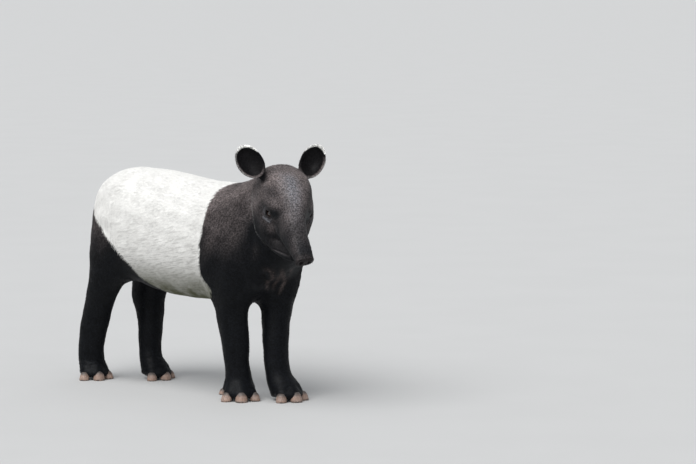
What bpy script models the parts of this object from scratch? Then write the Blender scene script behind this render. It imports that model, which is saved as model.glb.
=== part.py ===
"""A half-grown malayan tapir standing on level ground, life size.

The flesh is one smooth surface: the zero level of a field made of tubes with an oval section and of
egg shapes that melt into each other. Each named part is that surface between flat or arched cuts,
with a gap of GAP to its neighbour. Hooves and eyes are solids of their own, let into the flesh.

Frame: metres, +Z up, the animal faces -Y and its left side is +X. The origin is on the ground, below
the middle of the whole model. In the tables "forward" is -Y and "side" is +X.
"""
from math import cos, pi, radians, sin

import bpy
import numpy as np

GAP = 0.0003

# Where the middle of the whole model lies, forward and to the side, in the tables' own frame
CENTRE_FORWARD = 0.108
CENTRE_SIDE = -0.015

# Turn of the head: to its right, nose down, and leaning to its left; and the middle of its nape
HEAD_YAW = radians(25)
HEAD_PITCH = radians(22)
HEAD_ROLL = radians(3)
HEAD_FORWARD, HEAD_SIDE, HEAD_HEIGHT = 0.490, -0.048, 0.731

# Trunk, rump to chest: forward, top, bottom, half width
TRUNK = [
    (-0.275, 0.750, 0.384, 0.154),
    (-0.205, 0.751, 0.358, 0.165),
    (-0.100, 0.742, 0.330, 0.174),
    (0.020, 0.727, 0.320, 0.175),
    (0.130, 0.709, 0.320, 0.166),
    (0.240, 0.697, 0.330, 0.152),
    (0.330, 0.682, 0.350, 0.134),
    (0.390, 0.640, 0.385, 0.108),
    (0.420, 0.590, 0.425, 0.082),
]
TRUNK_MIDDLE = 0.52          # height of the widest line, as a share of the depth
TRUNK_SQUARE = 2.2           # power of its section: 2 is an ellipse
RUMP_ROUND = 0.92            # length of the round rump, as a share of the half width there

# Neck: forward, side, height, half width, up, down
NECK = [
    (0.180, 0.000, 0.550, 0.118, 0.118, 0.145),
    (0.290, -0.004, 0.564, 0.114, 0.132, 0.150),
    (0.370, -0.015, 0.606, 0.104, 0.128, 0.140),
    (0.430, -0.030, 0.655, 0.094, 0.116, 0.132),
    (0.490, -0.051, 0.692, 0.084, 0.094, 0.112),
]

# Legs, top to bottom: height, forward, side, half width, half depth in front, half depth behind
LEGS = {
    "foreleg_r": [
        (0.605, 0.245, -0.078, 0.050, 0.080, 0.080),
        (0.500, 0.285, -0.090, 0.056, 0.100, 0.090),
        (0.410, 0.282, -0.086, 0.056, 0.080, 0.085),
        (0.325, 0.266, -0.073, 0.053, 0.056, 0.060),
        (0.250, 0.266, -0.063, 0.052, 0.050, 0.050),
        (0.190, 0.270, -0.057, 0.049, 0.048, 0.044),
        (0.125, 0.270, -0.051, 0.044, 0.040, 0.040),
        (0.075, 0.274, -0.047, 0.047, 0.042, 0.042),
        (0.034, 0.282, -0.046, 0.056, 0.046, 0.042),
    ],
    "foreleg_l": [
        (0.605, 0.275, 0.078, 0.050, 0.080, 0.080),
        (0.500, 0.315, 0.094, 0.060, 0.095, 0.090),
        (0.410, 0.330, 0.092, 0.062, 0.080, 0.085),
        (0.325, 0.332, 0.078, 0.055, 0.058, 0.060),
        (0.250, 0.340, 0.063, 0.047, 0.048, 0.050),
        (0.190, 0.350, 0.053, 0.046, 0.043, 0.046),
        (0.125, 0.360, 0.048, 0.044, 0.037, 0.042),
        (0.075, 0.372, 0.048, 0.046, 0.041, 0.045),
        (0.034, 0.395, 0.050, 0.053, 0.046, 0.047),
    ],
    "hindleg_r": [
        (0.640, -0.280, -0.086, 0.058, 0.100, 0.070),
        (0.540, -0.290, -0.102, 0.062, 0.118, 0.068),
        (0.440, -0.312, -0.106, 0.061, 0.108, 0.083),
        (0.355, -0.350, -0.098, 0.055, 0.066, 0.066),
        (0.285, -0.388, -0.090, 0.050, 0.050, 0.054),
        (0.205, -0.424, -0.085, 0.047, 0.052, 0.050),
        (0.130, -0.448, -0.082, 0.045, 0.050, 0.045),
        (0.080, -0.454, -0.079, 0.045, 0.048, 0.043),
        (0.034, -0.448, -0.076, 0.050, 0.046, 0.042),
    ],
    "hindleg_l": [
        (0.640, -0.280, 0.088, 0.058, 0.100, 0.075),
        (0.540, -0.285, 0.102, 0.062, 0.120, 0.078),
        (0.440, -0.300, 0.104, 0.062, 0.106, 0.104),
        (0.355, -0.318, 0.096, 0.055, 0.066, 0.092),
        (0.290, -0.323, 0.088, 0.049, 0.052, 0.088),
        (0.210, -0.317, 0.080, 0.045, 0.046, 0.052),
        (0.130, -0.314, 0.074, 0.040, 0.039, 0.044),
        (0.080, -0.308, 0.071, 0.041, 0.040, 0.042),
        (0.034, -0.290, 0.070, 0.048, 0.046, 0.042),
    ],
}

# Feet: forward, side, heading in degrees to the animal's right
FEET = {
    "foreleg_r": (0.278, -0.046, 38),
    "foreleg_l": (0.390, 0.050, 4),
    "hindleg_r": (-0.452, -0.076, 18),
    "hindleg_l": (-0.296, 0.070, -4),
}
# Toes: name, angle from the foot's heading (outwards is positive), reach, half width, rise
FORE_TOES = [("mid", 0, 0.066, 0.0208, 0), ("inner", -47, 0.064, 0.0185, 0),
             ("outer", 48, 0.065, 0.0188, 0), ("small", 88, 0.058, 0.0125, 0.018)]
HIND_TOES = [("mid", 0, 0.063, 0.0203, 0), ("inner", -48, 0.060, 0.0178, 0),
             ("outer", 49, 0.061, 0.0178, 0)]
HOOF_LENGTH = 1.05           # front half, as a share of the hoof's half width
HOOF_BACK = 0.80             # its rear half, in the same share
HOOF_HEIGHT = 1.65
HOOF_LEAN = 0.42             # how far its top lies behind its foot, as a share of the half width
PAD = ((0.020, 0.024), (0.046, 0.052, 0.021))      # forward and height in the foot, and half sizes
FLESH_CLEAR = 0.003          # the hooves carry the weight: the pads stay this far off the ground

# Skull with snout, and jaw, in the head's frame: forward, side, up, half width, half height above and
# below, power of the section
SKULL = [
    (-0.020, 0.000, 0.000, 0.068, 0.054, 0.080, 2.4),
    (0.030, 0.000, -0.002, 0.077, 0.071, 0.100, 2.7),
    (0.080, -0.002, -0.012, 0.075, 0.074, 0.105, 2.5),
    (0.125, -0.006, -0.032, 0.058, 0.070, 0.098, 2.2),
    (0.170, -0.010, -0.056, 0.044, 0.057, 0.086, 2.0),
    (0.210, -0.010, -0.077, 0.040, 0.045, 0.062, 2.0),
    (0.245, -0.006, -0.096, 0.037, 0.037, 0.042, 2.2),
    (0.275, -0.002, -0.112, 0.035, 0.030, 0.028, 2.4),
    (0.300, 0.002, -0.126, 0.033, 0.024, 0.022, 2.4),
]
JAW = [
    (0.015, 0.000, -0.094, 0.070, 0.050, 0.050, 2.0),
    (0.070, 0.000, -0.132, 0.072, 0.050, 0.043, 2.0),
    (0.120, 0.000, -0.153, 0.063, 0.040, 0.033, 2.0),
    (0.165, 0.000, -0.160, 0.048, 0.030, 0.026, 2.0),
    (0.200, 0.001, -0.157, 0.035, 0.023, 0.019, 2.0),
    (0.224, 0.002, -0.151, 0.025, 0.016, 0.014, 2.0),
]
# Cheek and brow: side, forward, up in the head's frame, then half sizes
CHEEK = ((0.050, 0.070, -0.088), (0.040, 0.060, 0.056))
BROW = ((0.050, 0.103, -0.025), (0.023, 0.036, 0.020))

# Eyes in the head's frame
EYE_AT = (0.0605, 0.105, -0.052)
FACE_SIDE = -0.005           # how far eyes and brows lie to the right of the head's middle
EYE_FACES = (0.76, 0.62, 0.16)
EYE_RADIUS = 0.0125
LID = 0.0034                 # thickness of the lids over the eyeball
LID_OPENING = (0.0118, 0.0072)      # half length and half height of the opening
LID_SLANT = radians(28)      # front corner low

# Mouth: it runs forward from its corner at this height under the snout
MOUTH_CORNER = 0.146
MOUTH_LEVEL = (-0.159, -0.146)      # height at the corner and at the front
MOUTH_FRONT = 0.222
LIP = 0.0025                 # how far the lips stand out along the line
MOUTH_DEPTH = 0.0052
MOUTH_WIDTH = 0.0030          # half width of the groove between the lips

NOSTRIL = ((0.0145, 0.310, -0.131), (0.0048, 0.0120, 0.0075))
SNOUT_SIDE = 0.002           # how far the snout's tip lies to the left of the head's middle

# Ears: middle of the rim (forward, side, height), way the cup faces (degrees to the right, and
# upwards), lean of the long axis outwards from upright
EARS = {
    "ear_r": ((0.470, -0.174, 0.811), 42, 4, -36),
    "ear_l": ((0.545, 0.036, 0.806), 26, 4, 30),
}
EAR_HALF = (0.057, 0.0415)    # half length and half width of the rim
EAR_DEPTH = 0.034
EAR_RIM = 0.35               # the rim's place, as a share of the bowl's depth in front of its middle
EAR_WALL = 0.007
EAR_STEM = 0.021

# Tail, root to tip: forward, height, radius
TAIL = [(-0.375, 0.645, 0.026), (-0.413, 0.612, 0.021), (-0.436, 0.568, 0.016), (-0.444, 0.524, 0.010)]

# Cuts. A plane is a point and the way from its hinder part to its fore part
NECK_CUT = ((0.335, 0.0, 0.560), (0.88, 0.0, 0.47))
HEAD_CUT = ((-0.030, -0.050), (0.96, 0.28))        # forward and up, in the head's frame
SNOUT_CUT = ((0.254, -0.100), (1.0, 0.0))
# Leg cuts seen from the side: back, front, spring and crown of the arch
LEG_CUTS = {
    "foreleg_r": (0.150, 0.385, 0.470, 0.590),
    "foreleg_l": (0.185, 0.395, 0.470, 0.590),
    "hindleg_r": (-0.640, -0.170, 0.460, 0.580),
    "hindleg_l": (-0.640, -0.160, 0.460, 0.580),
}
LEG_SPREAD = 0.22            # below the belly each leg's cut is this much wider, fore and aft
BELLY_CLEAR = 0.262          # below this height there are only legs
INNER_FACE = ((0.003, 0.312), (0.112, 0.600))      # side and height of the cut's inner face, low and high

# Triangles left on each kind of node before it is cut
TRIANGLES = {"torso": 4600, "neck": 2400, "head": 4200, "leg": 1250, "ear": 640, "tail": 300}

# Cell size of the grid that each kind of node is sampled on
CELLS = {"torso": 0.014, "neck": 0.012, "head": 0.008, "leg": 0.011, "ear": 0.0032, "tail": 0.0045}
FINE_EYE, FINE_MOUTH, FINE_NOSTRIL = 0.0022, 0.0040, 0.0024      # and in the head's finer places

# How widely shapes are filled out where they meet
MELT = {"trunk to neck": 0.12, "to head": 0.045, "to leg": 0.07, "toes": 0.014, "jaw": 0.03,
        "cheek": 0.045, "brow": 0.030, "lids": 0.010, "ear stem": 0.012}

BLACK_COAT = (0.030, 0.025, 0.026)
WHITE_COAT = (0.78, 0.77, 0.74)
HOOF_HORN = (0.34, 0.24, 0.18)
EYE_BROWN = (0.012, 0.008, 0.006)


def turn_x(a):
    return np.array([[1, 0, 0], [0, cos(a), -sin(a)], [0, sin(a), cos(a)]])


def turn_y(a):
    return np.array([[cos(a), 0, sin(a)], [0, 1, 0], [-sin(a), 0, cos(a)]])


def turn_z(a):
    return np.array([[cos(a), -sin(a), 0], [sin(a), cos(a), 0], [0, 0, 1]])


HEAD_TURN = turn_z(-HEAD_YAW) @ turn_x(HEAD_PITCH) @ turn_y(HEAD_ROLL)


def place(forward, side, height):
    """A point of the tables in the model's frame."""
    return np.array([side - CENTRE_SIDE, CENTRE_FORWARD - forward, height])


def head_point(side, forward, up):
    """A point given in the head's own frame, in the model's frame."""
    nape = place(HEAD_FORWARD, HEAD_SIDE, HEAD_HEIGHT)
    return nape + HEAD_TURN @ np.array([side, -forward, up])


def head_way(side, forward, up):
    """A unit direction given in the head's own frame."""
    way = HEAD_TURN @ np.array([side, -forward, up])
    return way / np.linalg.norm(way)


def smooth_rows(rows, count):
    """count rows on the cubic curve through the given rows, with slopes from their neighbours."""
    v = np.asarray(rows, float)
    slope = np.gradient(v, axis=0)
    t = np.linspace(0, len(v) - 1, count)
    i = np.minimum(t.astype(int), len(v) - 2)
    s = (t - i)[:, None]
    rise = s * s * (3 - 2 * s)
    start = s * (1 - s) ** 2 * slope[i]
    end = s * s * (s - 1) * slope[i + 1]
    return v[i] * (1 - rise) + v[i + 1] * rise + start + end


class Tube:
    """A tube of oval section. Each row is x, y, z, half width, half height up, half height down and
    the power of the section; width is the direction of the sections' width, caps their round ends."""

    def __init__(self, rows, width=(1, 0, 0), caps=(0.5, 0.5), steps=4):
        fine = smooth_rows(rows, (len(rows) - 1) * steps + 1)
        self.centre, self.size, self.power = fine[:, :3], np.maximum(fine[:, 3:6], 0.002), fine[:, 6]
        along = np.gradient(self.centre, axis=0)
        self.along = along / np.linalg.norm(along, axis=1)[:, None]
        width = np.asarray(width, float)
        across = width - (self.along @ width)[:, None] * self.along
        self.across = across / np.linalg.norm(across, axis=1)[:, None]
        self.up = np.cross(self.along, self.across)
        self.caps = caps
        reach = self.size.max(1)[:, None]
        self.low, self.high = (self.centre - reach).min(0), (self.centre + reach).max(0)

    def __call__(self, p):
        """How far p is outside the tube: the way to its nearest section's centre, less the part of
        that way that lies inside the oval."""
        best, at = np.full(len(p), 1e9), np.zeros(len(p))
        for i in range(len(self.centre) - 1):
            leg = self.centre[i + 1] - self.centre[i]
            q = p - self.centre[i]
            s = np.clip((q @ leg) / (leg @ leg), 0, 1)
            far = ((q - s[:, None] * leg) ** 2).sum(1)
            closer = far < best
            best[closer], at[closer] = far[closer], i + s[closer]
        i = np.minimum(at.astype(int), len(self.centre) - 2)
        s = (at - i)[:, None]

        def mix(rows):
            return rows[i] * (1 - s) + rows[i + 1] * s

        q, size = p - mix(self.centre), mix(self.size)
        power = self.power[i] * (1 - s[:, 0]) + self.power[i + 1] * s[:, 0]
        x = (q * mix(self.across)).sum(1) / size[:, 0]
        y = (q * mix(self.up)).sum(1)
        y = y / np.where(y > 0, size[:, 1], size[:, 2])
        cap = np.where(at <= 0, self.caps[0], self.caps[1]) * size.min(1)
        beyond = (at <= 0) | (at >= len(self.centre) - 1)
        z = np.where(beyond, (q * mix(self.along)).sum(1) / cap, 0)
        share = (np.abs(x) ** power + np.abs(y) ** power + np.abs(z) ** power) ** (1 / power)
        way = np.sqrt((q * q).sum(1))
        return way - way / np.maximum(share, 1e-6)


class Egg:
    """An ellipsoid: centre, three half sizes and its turn."""

    def __init__(self, centre, size, turn=None):
        self.centre, self.size = np.asarray(centre, float), np.asarray(size, float)
        self.turn = np.eye(3) if turn is None else turn
        self.low, self.high = self.centre - self.size.max(), self.centre + self.size.max()

    def __call__(self, p):
        q = (p - self.centre) @ self.turn
        share = np.sqrt(((q / self.size) ** 2).sum(1))
        way = np.sqrt((q * q).sum(1))
        return way - way / np.maximum(share, 1e-6)


def melt(a, b, k):
    """The union of two fields, filled out where they meet within k of each other."""
    h = np.maximum(k - np.abs(a - b), 0) / k
    return np.minimum(a, b) - h * h * k / 4


def carve(a, b, k):
    """Field a without field b, the edge rounded over k."""
    return -melt(-a, b, k)


def near(shape, p, margin=0.11):
    """A shape's field at the points near its box, and a large value elsewhere."""
    inside = ((p > shape.low - margin) & (p < shape.high + margin)).all(1)
    field = np.full(len(p), 0.5)
    if inside.any():
        field[inside] = shape(p[inside])
    return field


def trunk_tube():
    rows = []
    for forward, top, bottom, half in TRUNK:
        middle = bottom + TRUNK_MIDDLE * (top - bottom)
        rows.append((*place(forward, 0, middle), half, top - middle, middle - bottom, TRUNK_SQUARE))
    return Tube(rows, caps=(RUMP_ROUND, 0.5))


def neck_tube():
    rows = [(*place(f, s, z), half, up, down, 2) for f, s, z, half, up, down in NECK]
    return Tube(rows, caps=(0.8, 0.8))


def tail_tube():
    return Tube([(*place(f, 0, z), r, r, r, 2) for f, z, r in TAIL], caps=(1, 1))


def leg_tube(name):
    rows = [(*place(f, s, z), half, front, back, 2) for z, f, s, half, front, back in LEGS[name]]
    return Tube(rows, caps=(0.9, 0.3))


def head_tube(table, caps):
    rows = [(*head_point(side, f, up), half, above, below, power)
            for f, side, up, half, above, below, power in table]
    return Tube(rows, width=head_way(1, 0, 0), caps=caps)


def heading(degrees):
    """The level direction that many degrees to the right of straight ahead."""
    a = radians(degrees)
    return np.array([-sin(a), -cos(a), 0.0])


def foot_toes(leg):
    """For each toe of a foot: name, root on the ground, direction, reach, half width and rise."""
    forward, side, turn = FEET[leg]
    outwards = 1 if leg.endswith("_r") else -1
    root = place(forward, side, 0)
    table = FORE_TOES if leg.startswith("fore") else HIND_TOES
    return [(name, root, heading(turn + outwards * angle), reach, half, rise)
            for name, angle, reach, half, rise in table]


def toe_tube(root, way, reach, half, rise):
    """The flesh of a toe, from the middle of the foot down to the back of its hoof."""
    up = np.array([0, 0, 1])
    rows = [
        (*(root + up * 0.062), half * 1.10, half * 1.1, half * 1.1, 2),
        (*(root + way * reach * 0.60 + up * (0.040 + rise)), half * 1.12, half, half, 2),
        (*(root + way * reach * 0.87 + up * (0.019 + rise)), half * 0.98, half * 0.74, half * 0.9, 2),
    ]
    return Tube(rows, width=np.cross(up, way), caps=(0.8, 0.8))


def foot_pad(leg):
    """The cushion under a foot, between its toes."""
    forward, side, turn = FEET[leg]
    (ahead, up), size = PAD
    way = heading(turn)
    turned = np.stack([np.cross([0, 0, 1], way), way, [0, 0, 1]], 1)
    return Egg(place(forward, side, up) + way * ahead, size, turned)


def eye_frame(side):
    """Centre of an eyeball and its axes: along the opening, across it, and outwards."""
    x, forward, up = EYE_AT
    centre = head_point(FACE_SIDE + side * x, forward, up)
    out = head_way(side * EYE_FACES[0], EYE_FACES[1], EYE_FACES[2])
    front = head_way(0, cos(LID_SLANT), -sin(LID_SLANT))
    along = front - (front @ out) * out
    along /= np.linalg.norm(along)
    return centre, along, np.cross(out, along), out


def body_shapes():
    shapes = {"trunk": trunk_tube(), "neck": neck_tube(), "tail": tail_tube()}
    shapes["skull"] = head_tube(SKULL, (0.8, 0.35))
    shapes["jaw"] = head_tube(JAW, (0.8, 0.9))
    for side in (1, -1):
        for name, ((x, forward, up), size) in (("cheek", CHEEK), ("brow", BROW)):
            middle = FACE_SIDE if name == "brow" else 0
            shapes[name, side] = Egg(head_point(middle + side * x, forward, up), size, HEAD_TURN)
        centre, along, across, out = eye_frame(side)
        radius = EYE_RADIUS + LID
        shapes["lids", side] = Egg(centre, (radius * 1.15, radius * 0.95, radius),
                                   np.stack([along, across, out], 1))
        (x, forward, up), size = NOSTRIL
        shapes["nostril", side] = Egg(head_point(SNOUT_SIDE + side * x, forward, up), size,
                                      HEAD_TURN @ turn_x(radians(38)) @ turn_z(side * radians(14)))
    for leg in LEGS:
        shapes[leg] = leg_tube(leg)
        for i, (_, root, way, reach, half, rise) in enumerate(foot_toes(leg)):
            shapes[leg, i] = toe_tube(root, way, reach, half, rise)
        shapes[leg, "pad"] = foot_pad(leg)
    return shapes


SHAPES = body_shapes()


def head_field(p):
    """Skull, jaw, cheeks, brows and lids, with the lips, the mouth's line and the nostrils."""
    field = melt(near(SHAPES["skull"], p), near(SHAPES["jaw"], p), MELT["jaw"])
    for side in (1, -1):
        for part in ("cheek", "brow", "lids"):
            field = melt(field, near(SHAPES[part, side], p), MELT[part])
    return head_details(field, p)


def head_details(field, p):
    """Cuts the finer forms into the head's field, at the points near its surface."""
    close = np.abs(field) < 0.03
    if not close.any():
        return field
    q, f = p[close], field[close]
    own = (q - head_point(0, 0, 0)) @ HEAD_TURN
    forward, up = -own[:, 1], own[:, 2]
    share = np.clip((forward - MOUTH_CORNER) / (MOUTH_FRONT - MOUTH_CORNER), 0, 1)
    level = MOUTH_LEVEL[0] + share * (MOUTH_LEVEL[1] - MOUTH_LEVEL[0])
    from_line = up - level
    along = np.clip((forward - MOUTH_CORNER) / 0.02 + 0.5, 0, 1)
    along = along * np.clip((MOUTH_FRONT - forward) / 0.015, 0, 1)
    f = f - LIP * along * np.exp(-(from_line / 0.011) ** 2)
    f = f + MOUTH_DEPTH * along * np.exp(-(from_line / MOUTH_WIDTH) ** 2)
    for side in (1, -1):
        f = carve(f, near(SHAPES["nostril", side], q), 0.004)
        f = carve(f, lid_opening(q, side), 0.002)
    field = field.copy()
    field[close] = f
    return field


def lid_opening(p, side):
    """The almond between the lids, in front of the eyeball's middle."""
    centre, along, across, out = eye_frame(side)
    q = p - centre
    u, v, w = q @ along, q @ across, q @ out
    half, high = LID_OPENING
    edge = high * (1 - (u / half) ** 2)
    return np.maximum((np.abs(v) - edge) * 0.8, EYE_RADIUS * 0.45 - w)


def ear_axes(name):
    """Middle of an ear's rim and its axes: along the ear, across it, and the way the cup faces."""
    middle, yaw, pitch, lean = EARS[name]
    faces = heading(yaw) * cos(radians(pitch)) + np.array([0, 0, sin(radians(pitch))])
    level = np.cross([0, 0, 1], faces)
    level /= np.linalg.norm(level)
    rise = np.cross(faces, level)
    a = radians(lean)
    along = rise * cos(a) + level * sin(a)
    return place(*middle), along, np.cross(faces, along), faces


def ear_shapes(name):
    """The bowl that an ear's cup is the wall of, the rim's plane, and the stem to the head."""
    middle, along, across, faces = ear_axes(name)
    rim = np.sqrt(1 - EAR_RIM ** 2)
    size = (EAR_HALF[0] / rim, EAR_HALF[1] / rim, EAR_DEPTH / (1 - EAR_RIM))
    turn = np.stack([along, across, faces], 1)
    bowl = Egg(middle + faces * EAR_RIM * size[2], size, turn)
    foot = middle - along * EAR_HALF[0] * 0.62 - faces * EAR_DEPTH * 0.52
    inwards = 1 if name == "ear_r" else -1
    root = head_point(-inwards * 0.050, 0.012, 0.030)
    r = EAR_STEM
    stem = Tube([(*root, r, r, r, 2), (*(root * 0.5 + foot * 0.5), r, r, r, 2),
                 (*foot, r * 0.8, r * 0.8, r * 0.8, 2)], width=across, caps=(0.5, 0.6))
    return bowl, middle, faces, stem


EAR_SHAPES = {name: ear_shapes(name) for name in EARS}


def ear_field(name, p):
    """The wall of the bowl behind the rim, melted into the stem and opened in front."""
    bowl, middle, faces, stem = EAR_SHAPES[name]
    inner = near(bowl, p)
    wall = melt(np.abs(inner) - EAR_WALL / 2, near(stem, p), MELT["ear stem"])
    wall = carve(wall, inner + EAR_WALL / 2, 0.003)
    return carve(wall, -((p - middle) @ faces), 0.002)


def trunk_field(p):
    """Everything but the legs, the ears and the tail."""
    field = melt(near(SHAPES["trunk"], p, 0.2), near(SHAPES["neck"], p, 0.2), MELT["trunk to neck"])
    return melt(field, head_field(p), MELT["to head"])


def leg_field(leg, p):
    """A leg with its toes, without the trunk."""
    field = near(SHAPES[leg], p)
    for part in (*range(len(foot_toes(leg))), "pad"):
        field = melt(field, near(SHAPES[leg, part], p), MELT["toes"])
    return field


def body_field(p):
    """The whole animal's flesh but the ears and the tail."""
    field = trunk_field(p)
    whole = None
    for leg in LEGS:
        joined = melt(field, leg_field(leg, p), MELT["to leg"])
        whole = joined if whole is None else np.minimum(whole, joined)
    return carve(whole, p[:, 2] - FLESH_CLEAR, 0.006)


def grid_line(start, end, step):
    return np.linspace(start, end, max(2, int(round((end - start) / step)) + 1))


def level_surface(field, xs, ys, zs):
    """Triangles round the zero level of a field sampled on a grid. Each cell that the level passes
    through is six tetrahedra; the level cuts each of them in one or two triangles, whose corners lie
    on its edges."""
    grid = np.stack(np.meshgrid(xs, ys, zs, indexing="ij"), -1).reshape(-1, 3)
    value = field(grid)
    shape = (len(xs), len(ys), len(zs))
    number = np.arange(len(grid)).reshape(shape)
    inside = value < 0
    steps = np.array([shape[1] * shape[2], shape[2], 1])
    first = number[:-1, :-1, :-1].ravel()
    counts = sum(inside[first + np.dot(c, steps)].astype(int) for c in np.ndindex(2, 2, 2))
    first = first[(counts > 0) & (counts < 8)]
    triangles = []
    for a, b, c in ((0, 1, 2), (0, 2, 1), (1, 0, 2), (1, 2, 0), (2, 0, 1), (2, 1, 0)):
        corners = np.stack([first, first + steps[a], first + steps[a] + steps[b], first + steps.sum()], 1)
        triangles.append(cut_tetrahedra(corners, inside, grid))
    triangles = np.concatenate(triangles)
    key = triangles[..., 0] * len(grid) + triangles[..., 1]
    unique, faces = np.unique(key, return_inverse=True)
    low, high = unique // len(grid), unique % len(grid)
    share = np.clip(value[low] / (value[low] - value[high]), 0.04, 0.96)[:, None]
    return grid[low] * (1 - share) + grid[high] * share, faces.reshape(-1, 3)


def cut_tetrahedra(corners, inside, grid):
    """The triangles that part the inside corners of tetrahedra from the outside ones, facing out.
    Each triangle corner is the pair of grid points whose edge it lies on, the lower number first."""
    order = np.argsort(~inside[corners], axis=1, kind="stable")
    corners = np.take_along_axis(corners, order, 1)
    count = inside[corners].sum(1)
    parts = []
    for n, pairs in ((1, ((0, 1), (0, 2), (0, 3))), (3, ((0, 3), (1, 3), (2, 3))),
                     (2, ((0, 2), (0, 3), (1, 3))), (2, ((0, 2), (1, 3), (1, 2)))):
        chosen = corners[count == n]
        ends = np.stack([chosen[:, list(pair)] for pair in pairs], 1)
        middle = grid[ends].mean(2)
        normal = np.cross(middle[:, 1] - middle[:, 0], middle[:, 2] - middle[:, 0])
        way = grid[chosen[:, n:]].mean(1) - grid[chosen[:, :n]].mean(1)
        turned = (normal * way).sum(1) < 0
        ends[turned] = ends[turned][:, ::-1]
        parts.append(np.sort(ends, axis=2))
    return np.concatenate(parts)


def refine(points, faces, chosen):
    """Splits the chosen triangles in four and their neighbours in two or three, edge for edge."""
    edges = np.sort(np.stack([faces, np.roll(faces, -1, axis=1)], -1), -1).reshape(-1, 2)
    unique, inverse = np.unique(edges, axis=0, return_inverse=True)
    inverse = inverse.reshape(-1, 3)
    split = np.zeros(len(unique), bool)
    split[inverse[chosen].ravel()] = True
    middle = np.full(len(unique), -1)
    middle[split] = len(points) + np.arange(split.sum())
    points = np.concatenate([points, points[unique[split]].mean(1)])
    cuts = split[inverse]
    mids = middle[inverse]
    count = cuts.sum(1)
    turn = np.zeros(len(faces), int)
    turn[count == 1] = cuts[count == 1].argmax(1)
    turn[count == 2] = ((~cuts[count == 2]).argmax(1) + 1) % 3
    order = (np.arange(3)[None] + turn[:, None]) % 3
    f = np.take_along_axis(faces, order, 1)
    m = np.take_along_axis(mids, order, 1)
    one, two, three = count == 1, count == 2, count == 3
    parts = [f[count == 0]]
    parts += [np.stack(c, 1) for c in (
        (f[one, 0], m[one, 0], f[one, 2]), (m[one, 0], f[one, 1], f[one, 2]),
        (f[two, 1], m[two, 1], m[two, 0]), (f[two, 0], m[two, 0], m[two, 1]),
        (f[two, 0], m[two, 1], f[two, 2]),
        (f[three, 0], m[three, 0], m[three, 2]), (f[three, 1], m[three, 1], m[three, 0]),
        (f[three, 2], m[three, 2], m[three, 1]), (m[three, 0], m[three, 1], m[three, 2]))]
    return points, np.concatenate(parts)


def settle(field, points, rounds=2, reach=0.0006):
    """Moves points along the field's slope to its zero level; gives them and their normals."""
    corners = np.array([[1, -1, -1], [-1, -1, 1], [-1, 1, -1], [1, 1, 1]], float)
    for _ in range(rounds):
        values = [field(points + corner * reach) for corner in corners]
        slope = sum(v[:, None] * c for v, c in zip(values, corners)) / (4 * reach)
        steep = (slope ** 2).sum(1)
        step = (sum(values) / 4 / np.maximum(steep, 0.05))[:, None] * slope
        length = np.linalg.norm(step, axis=1)
        points = points - step * np.minimum(1, 0.005 / np.maximum(length, 1e-9))[:, None]
    return points, slope / np.maximum(np.sqrt(steep), 1e-9)[:, None]


def relax(points, faces, normals, amount=0.5):
    """Slides each point along the surface towards the mean of its neighbours."""
    total, count = np.zeros_like(points), np.zeros(len(points))
    for a, b in ((0, 1), (1, 2), (2, 0)):
        for i, j in ((a, b), (b, a)):
            np.add.at(total, faces[:, i], points[faces[:, j]])
            np.add.at(count, faces[:, i], 1)
    step = total / np.maximum(count, 1)[:, None] - points
    step -= (step * normals).sum(1)[:, None] * normals
    return points + amount * step


def fair_surface(field, xs, ys, zs, fine=()):
    """The field's level surface, evened out. fine lists centre, radius and cell size of finer places."""
    points, faces = level_surface(field, xs, ys, zs)
    points, normals = settle(field, points, 1)
    for _ in range(2):
        points = relax(points, faces, normals)
        points, normals = settle(field, points, 1)
    for centre, radius, size in fine:
        for _ in range(4):
            corner = points[faces]
            longest = np.linalg.norm(corner - np.roll(corner, -1, axis=1), axis=2).max(1)
            chosen = (np.linalg.norm(corner.mean(1) - centre, axis=1) < radius) & (longest > 1.6 * size)
            if not chosen.any():
                break
            points, faces = refine(points, faces, chosen)
            points, normals = settle(field, points, 1)
            points = relax(points, faces, normals, 0.35)
            points, normals = settle(field, points, 1)
    return points, faces


def finish_material(name, colour, roughness):
    material = bpy.data.materials.new(name)
    material.use_nodes = True
    shader = material.node_tree.nodes["Principled BSDF"]
    shader.inputs["Base Color"].default_value = (*colour, 1)
    shader.inputs["Roughness"].default_value = roughness
    shader.inputs["Metallic"].default_value = 0
    return material


def new_object(name, points, faces):
    """A mesh object from arrays, shaded smooth."""
    mesh = bpy.data.meshes.new(name)
    mesh.from_pydata(np.asarray(points).tolist(), [], [list(map(int, f)) for f in faces])
    mesh.update()
    mesh.shade_smooth()
    thing = bpy.data.objects.new(name, mesh)
    bpy.context.scene.collection.objects.link(thing)
    return thing


def evaluated(thing):
    """Replaces an object's mesh by what its modifiers make of it."""
    bpy.context.view_layer.update()
    graph = bpy.context.evaluated_depsgraph_get()
    mesh = bpy.data.meshes.new_from_object(thing.evaluated_get(graph))
    thing.modifiers.clear()
    old, thing.data = thing.data, mesh
    bpy.data.meshes.remove(old)
    return thing


def thin_out(thing, triangles):
    """Collapses edges until about that many triangles are left."""
    share = triangles / len(thing.data.polygons)
    if share < 1:
        modifier = thing.modifiers.new("fewer", "DECIMATE")
        modifier.ratio = share
        evaluated(thing)
    return thing


def result_size(thing):
    """Number of faces that an object has with its modifiers."""
    bpy.context.view_layer.update()
    graph = bpy.context.evaluated_depsgraph_get()
    return len(thing.evaluated_get(graph).data.polygons)


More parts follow.
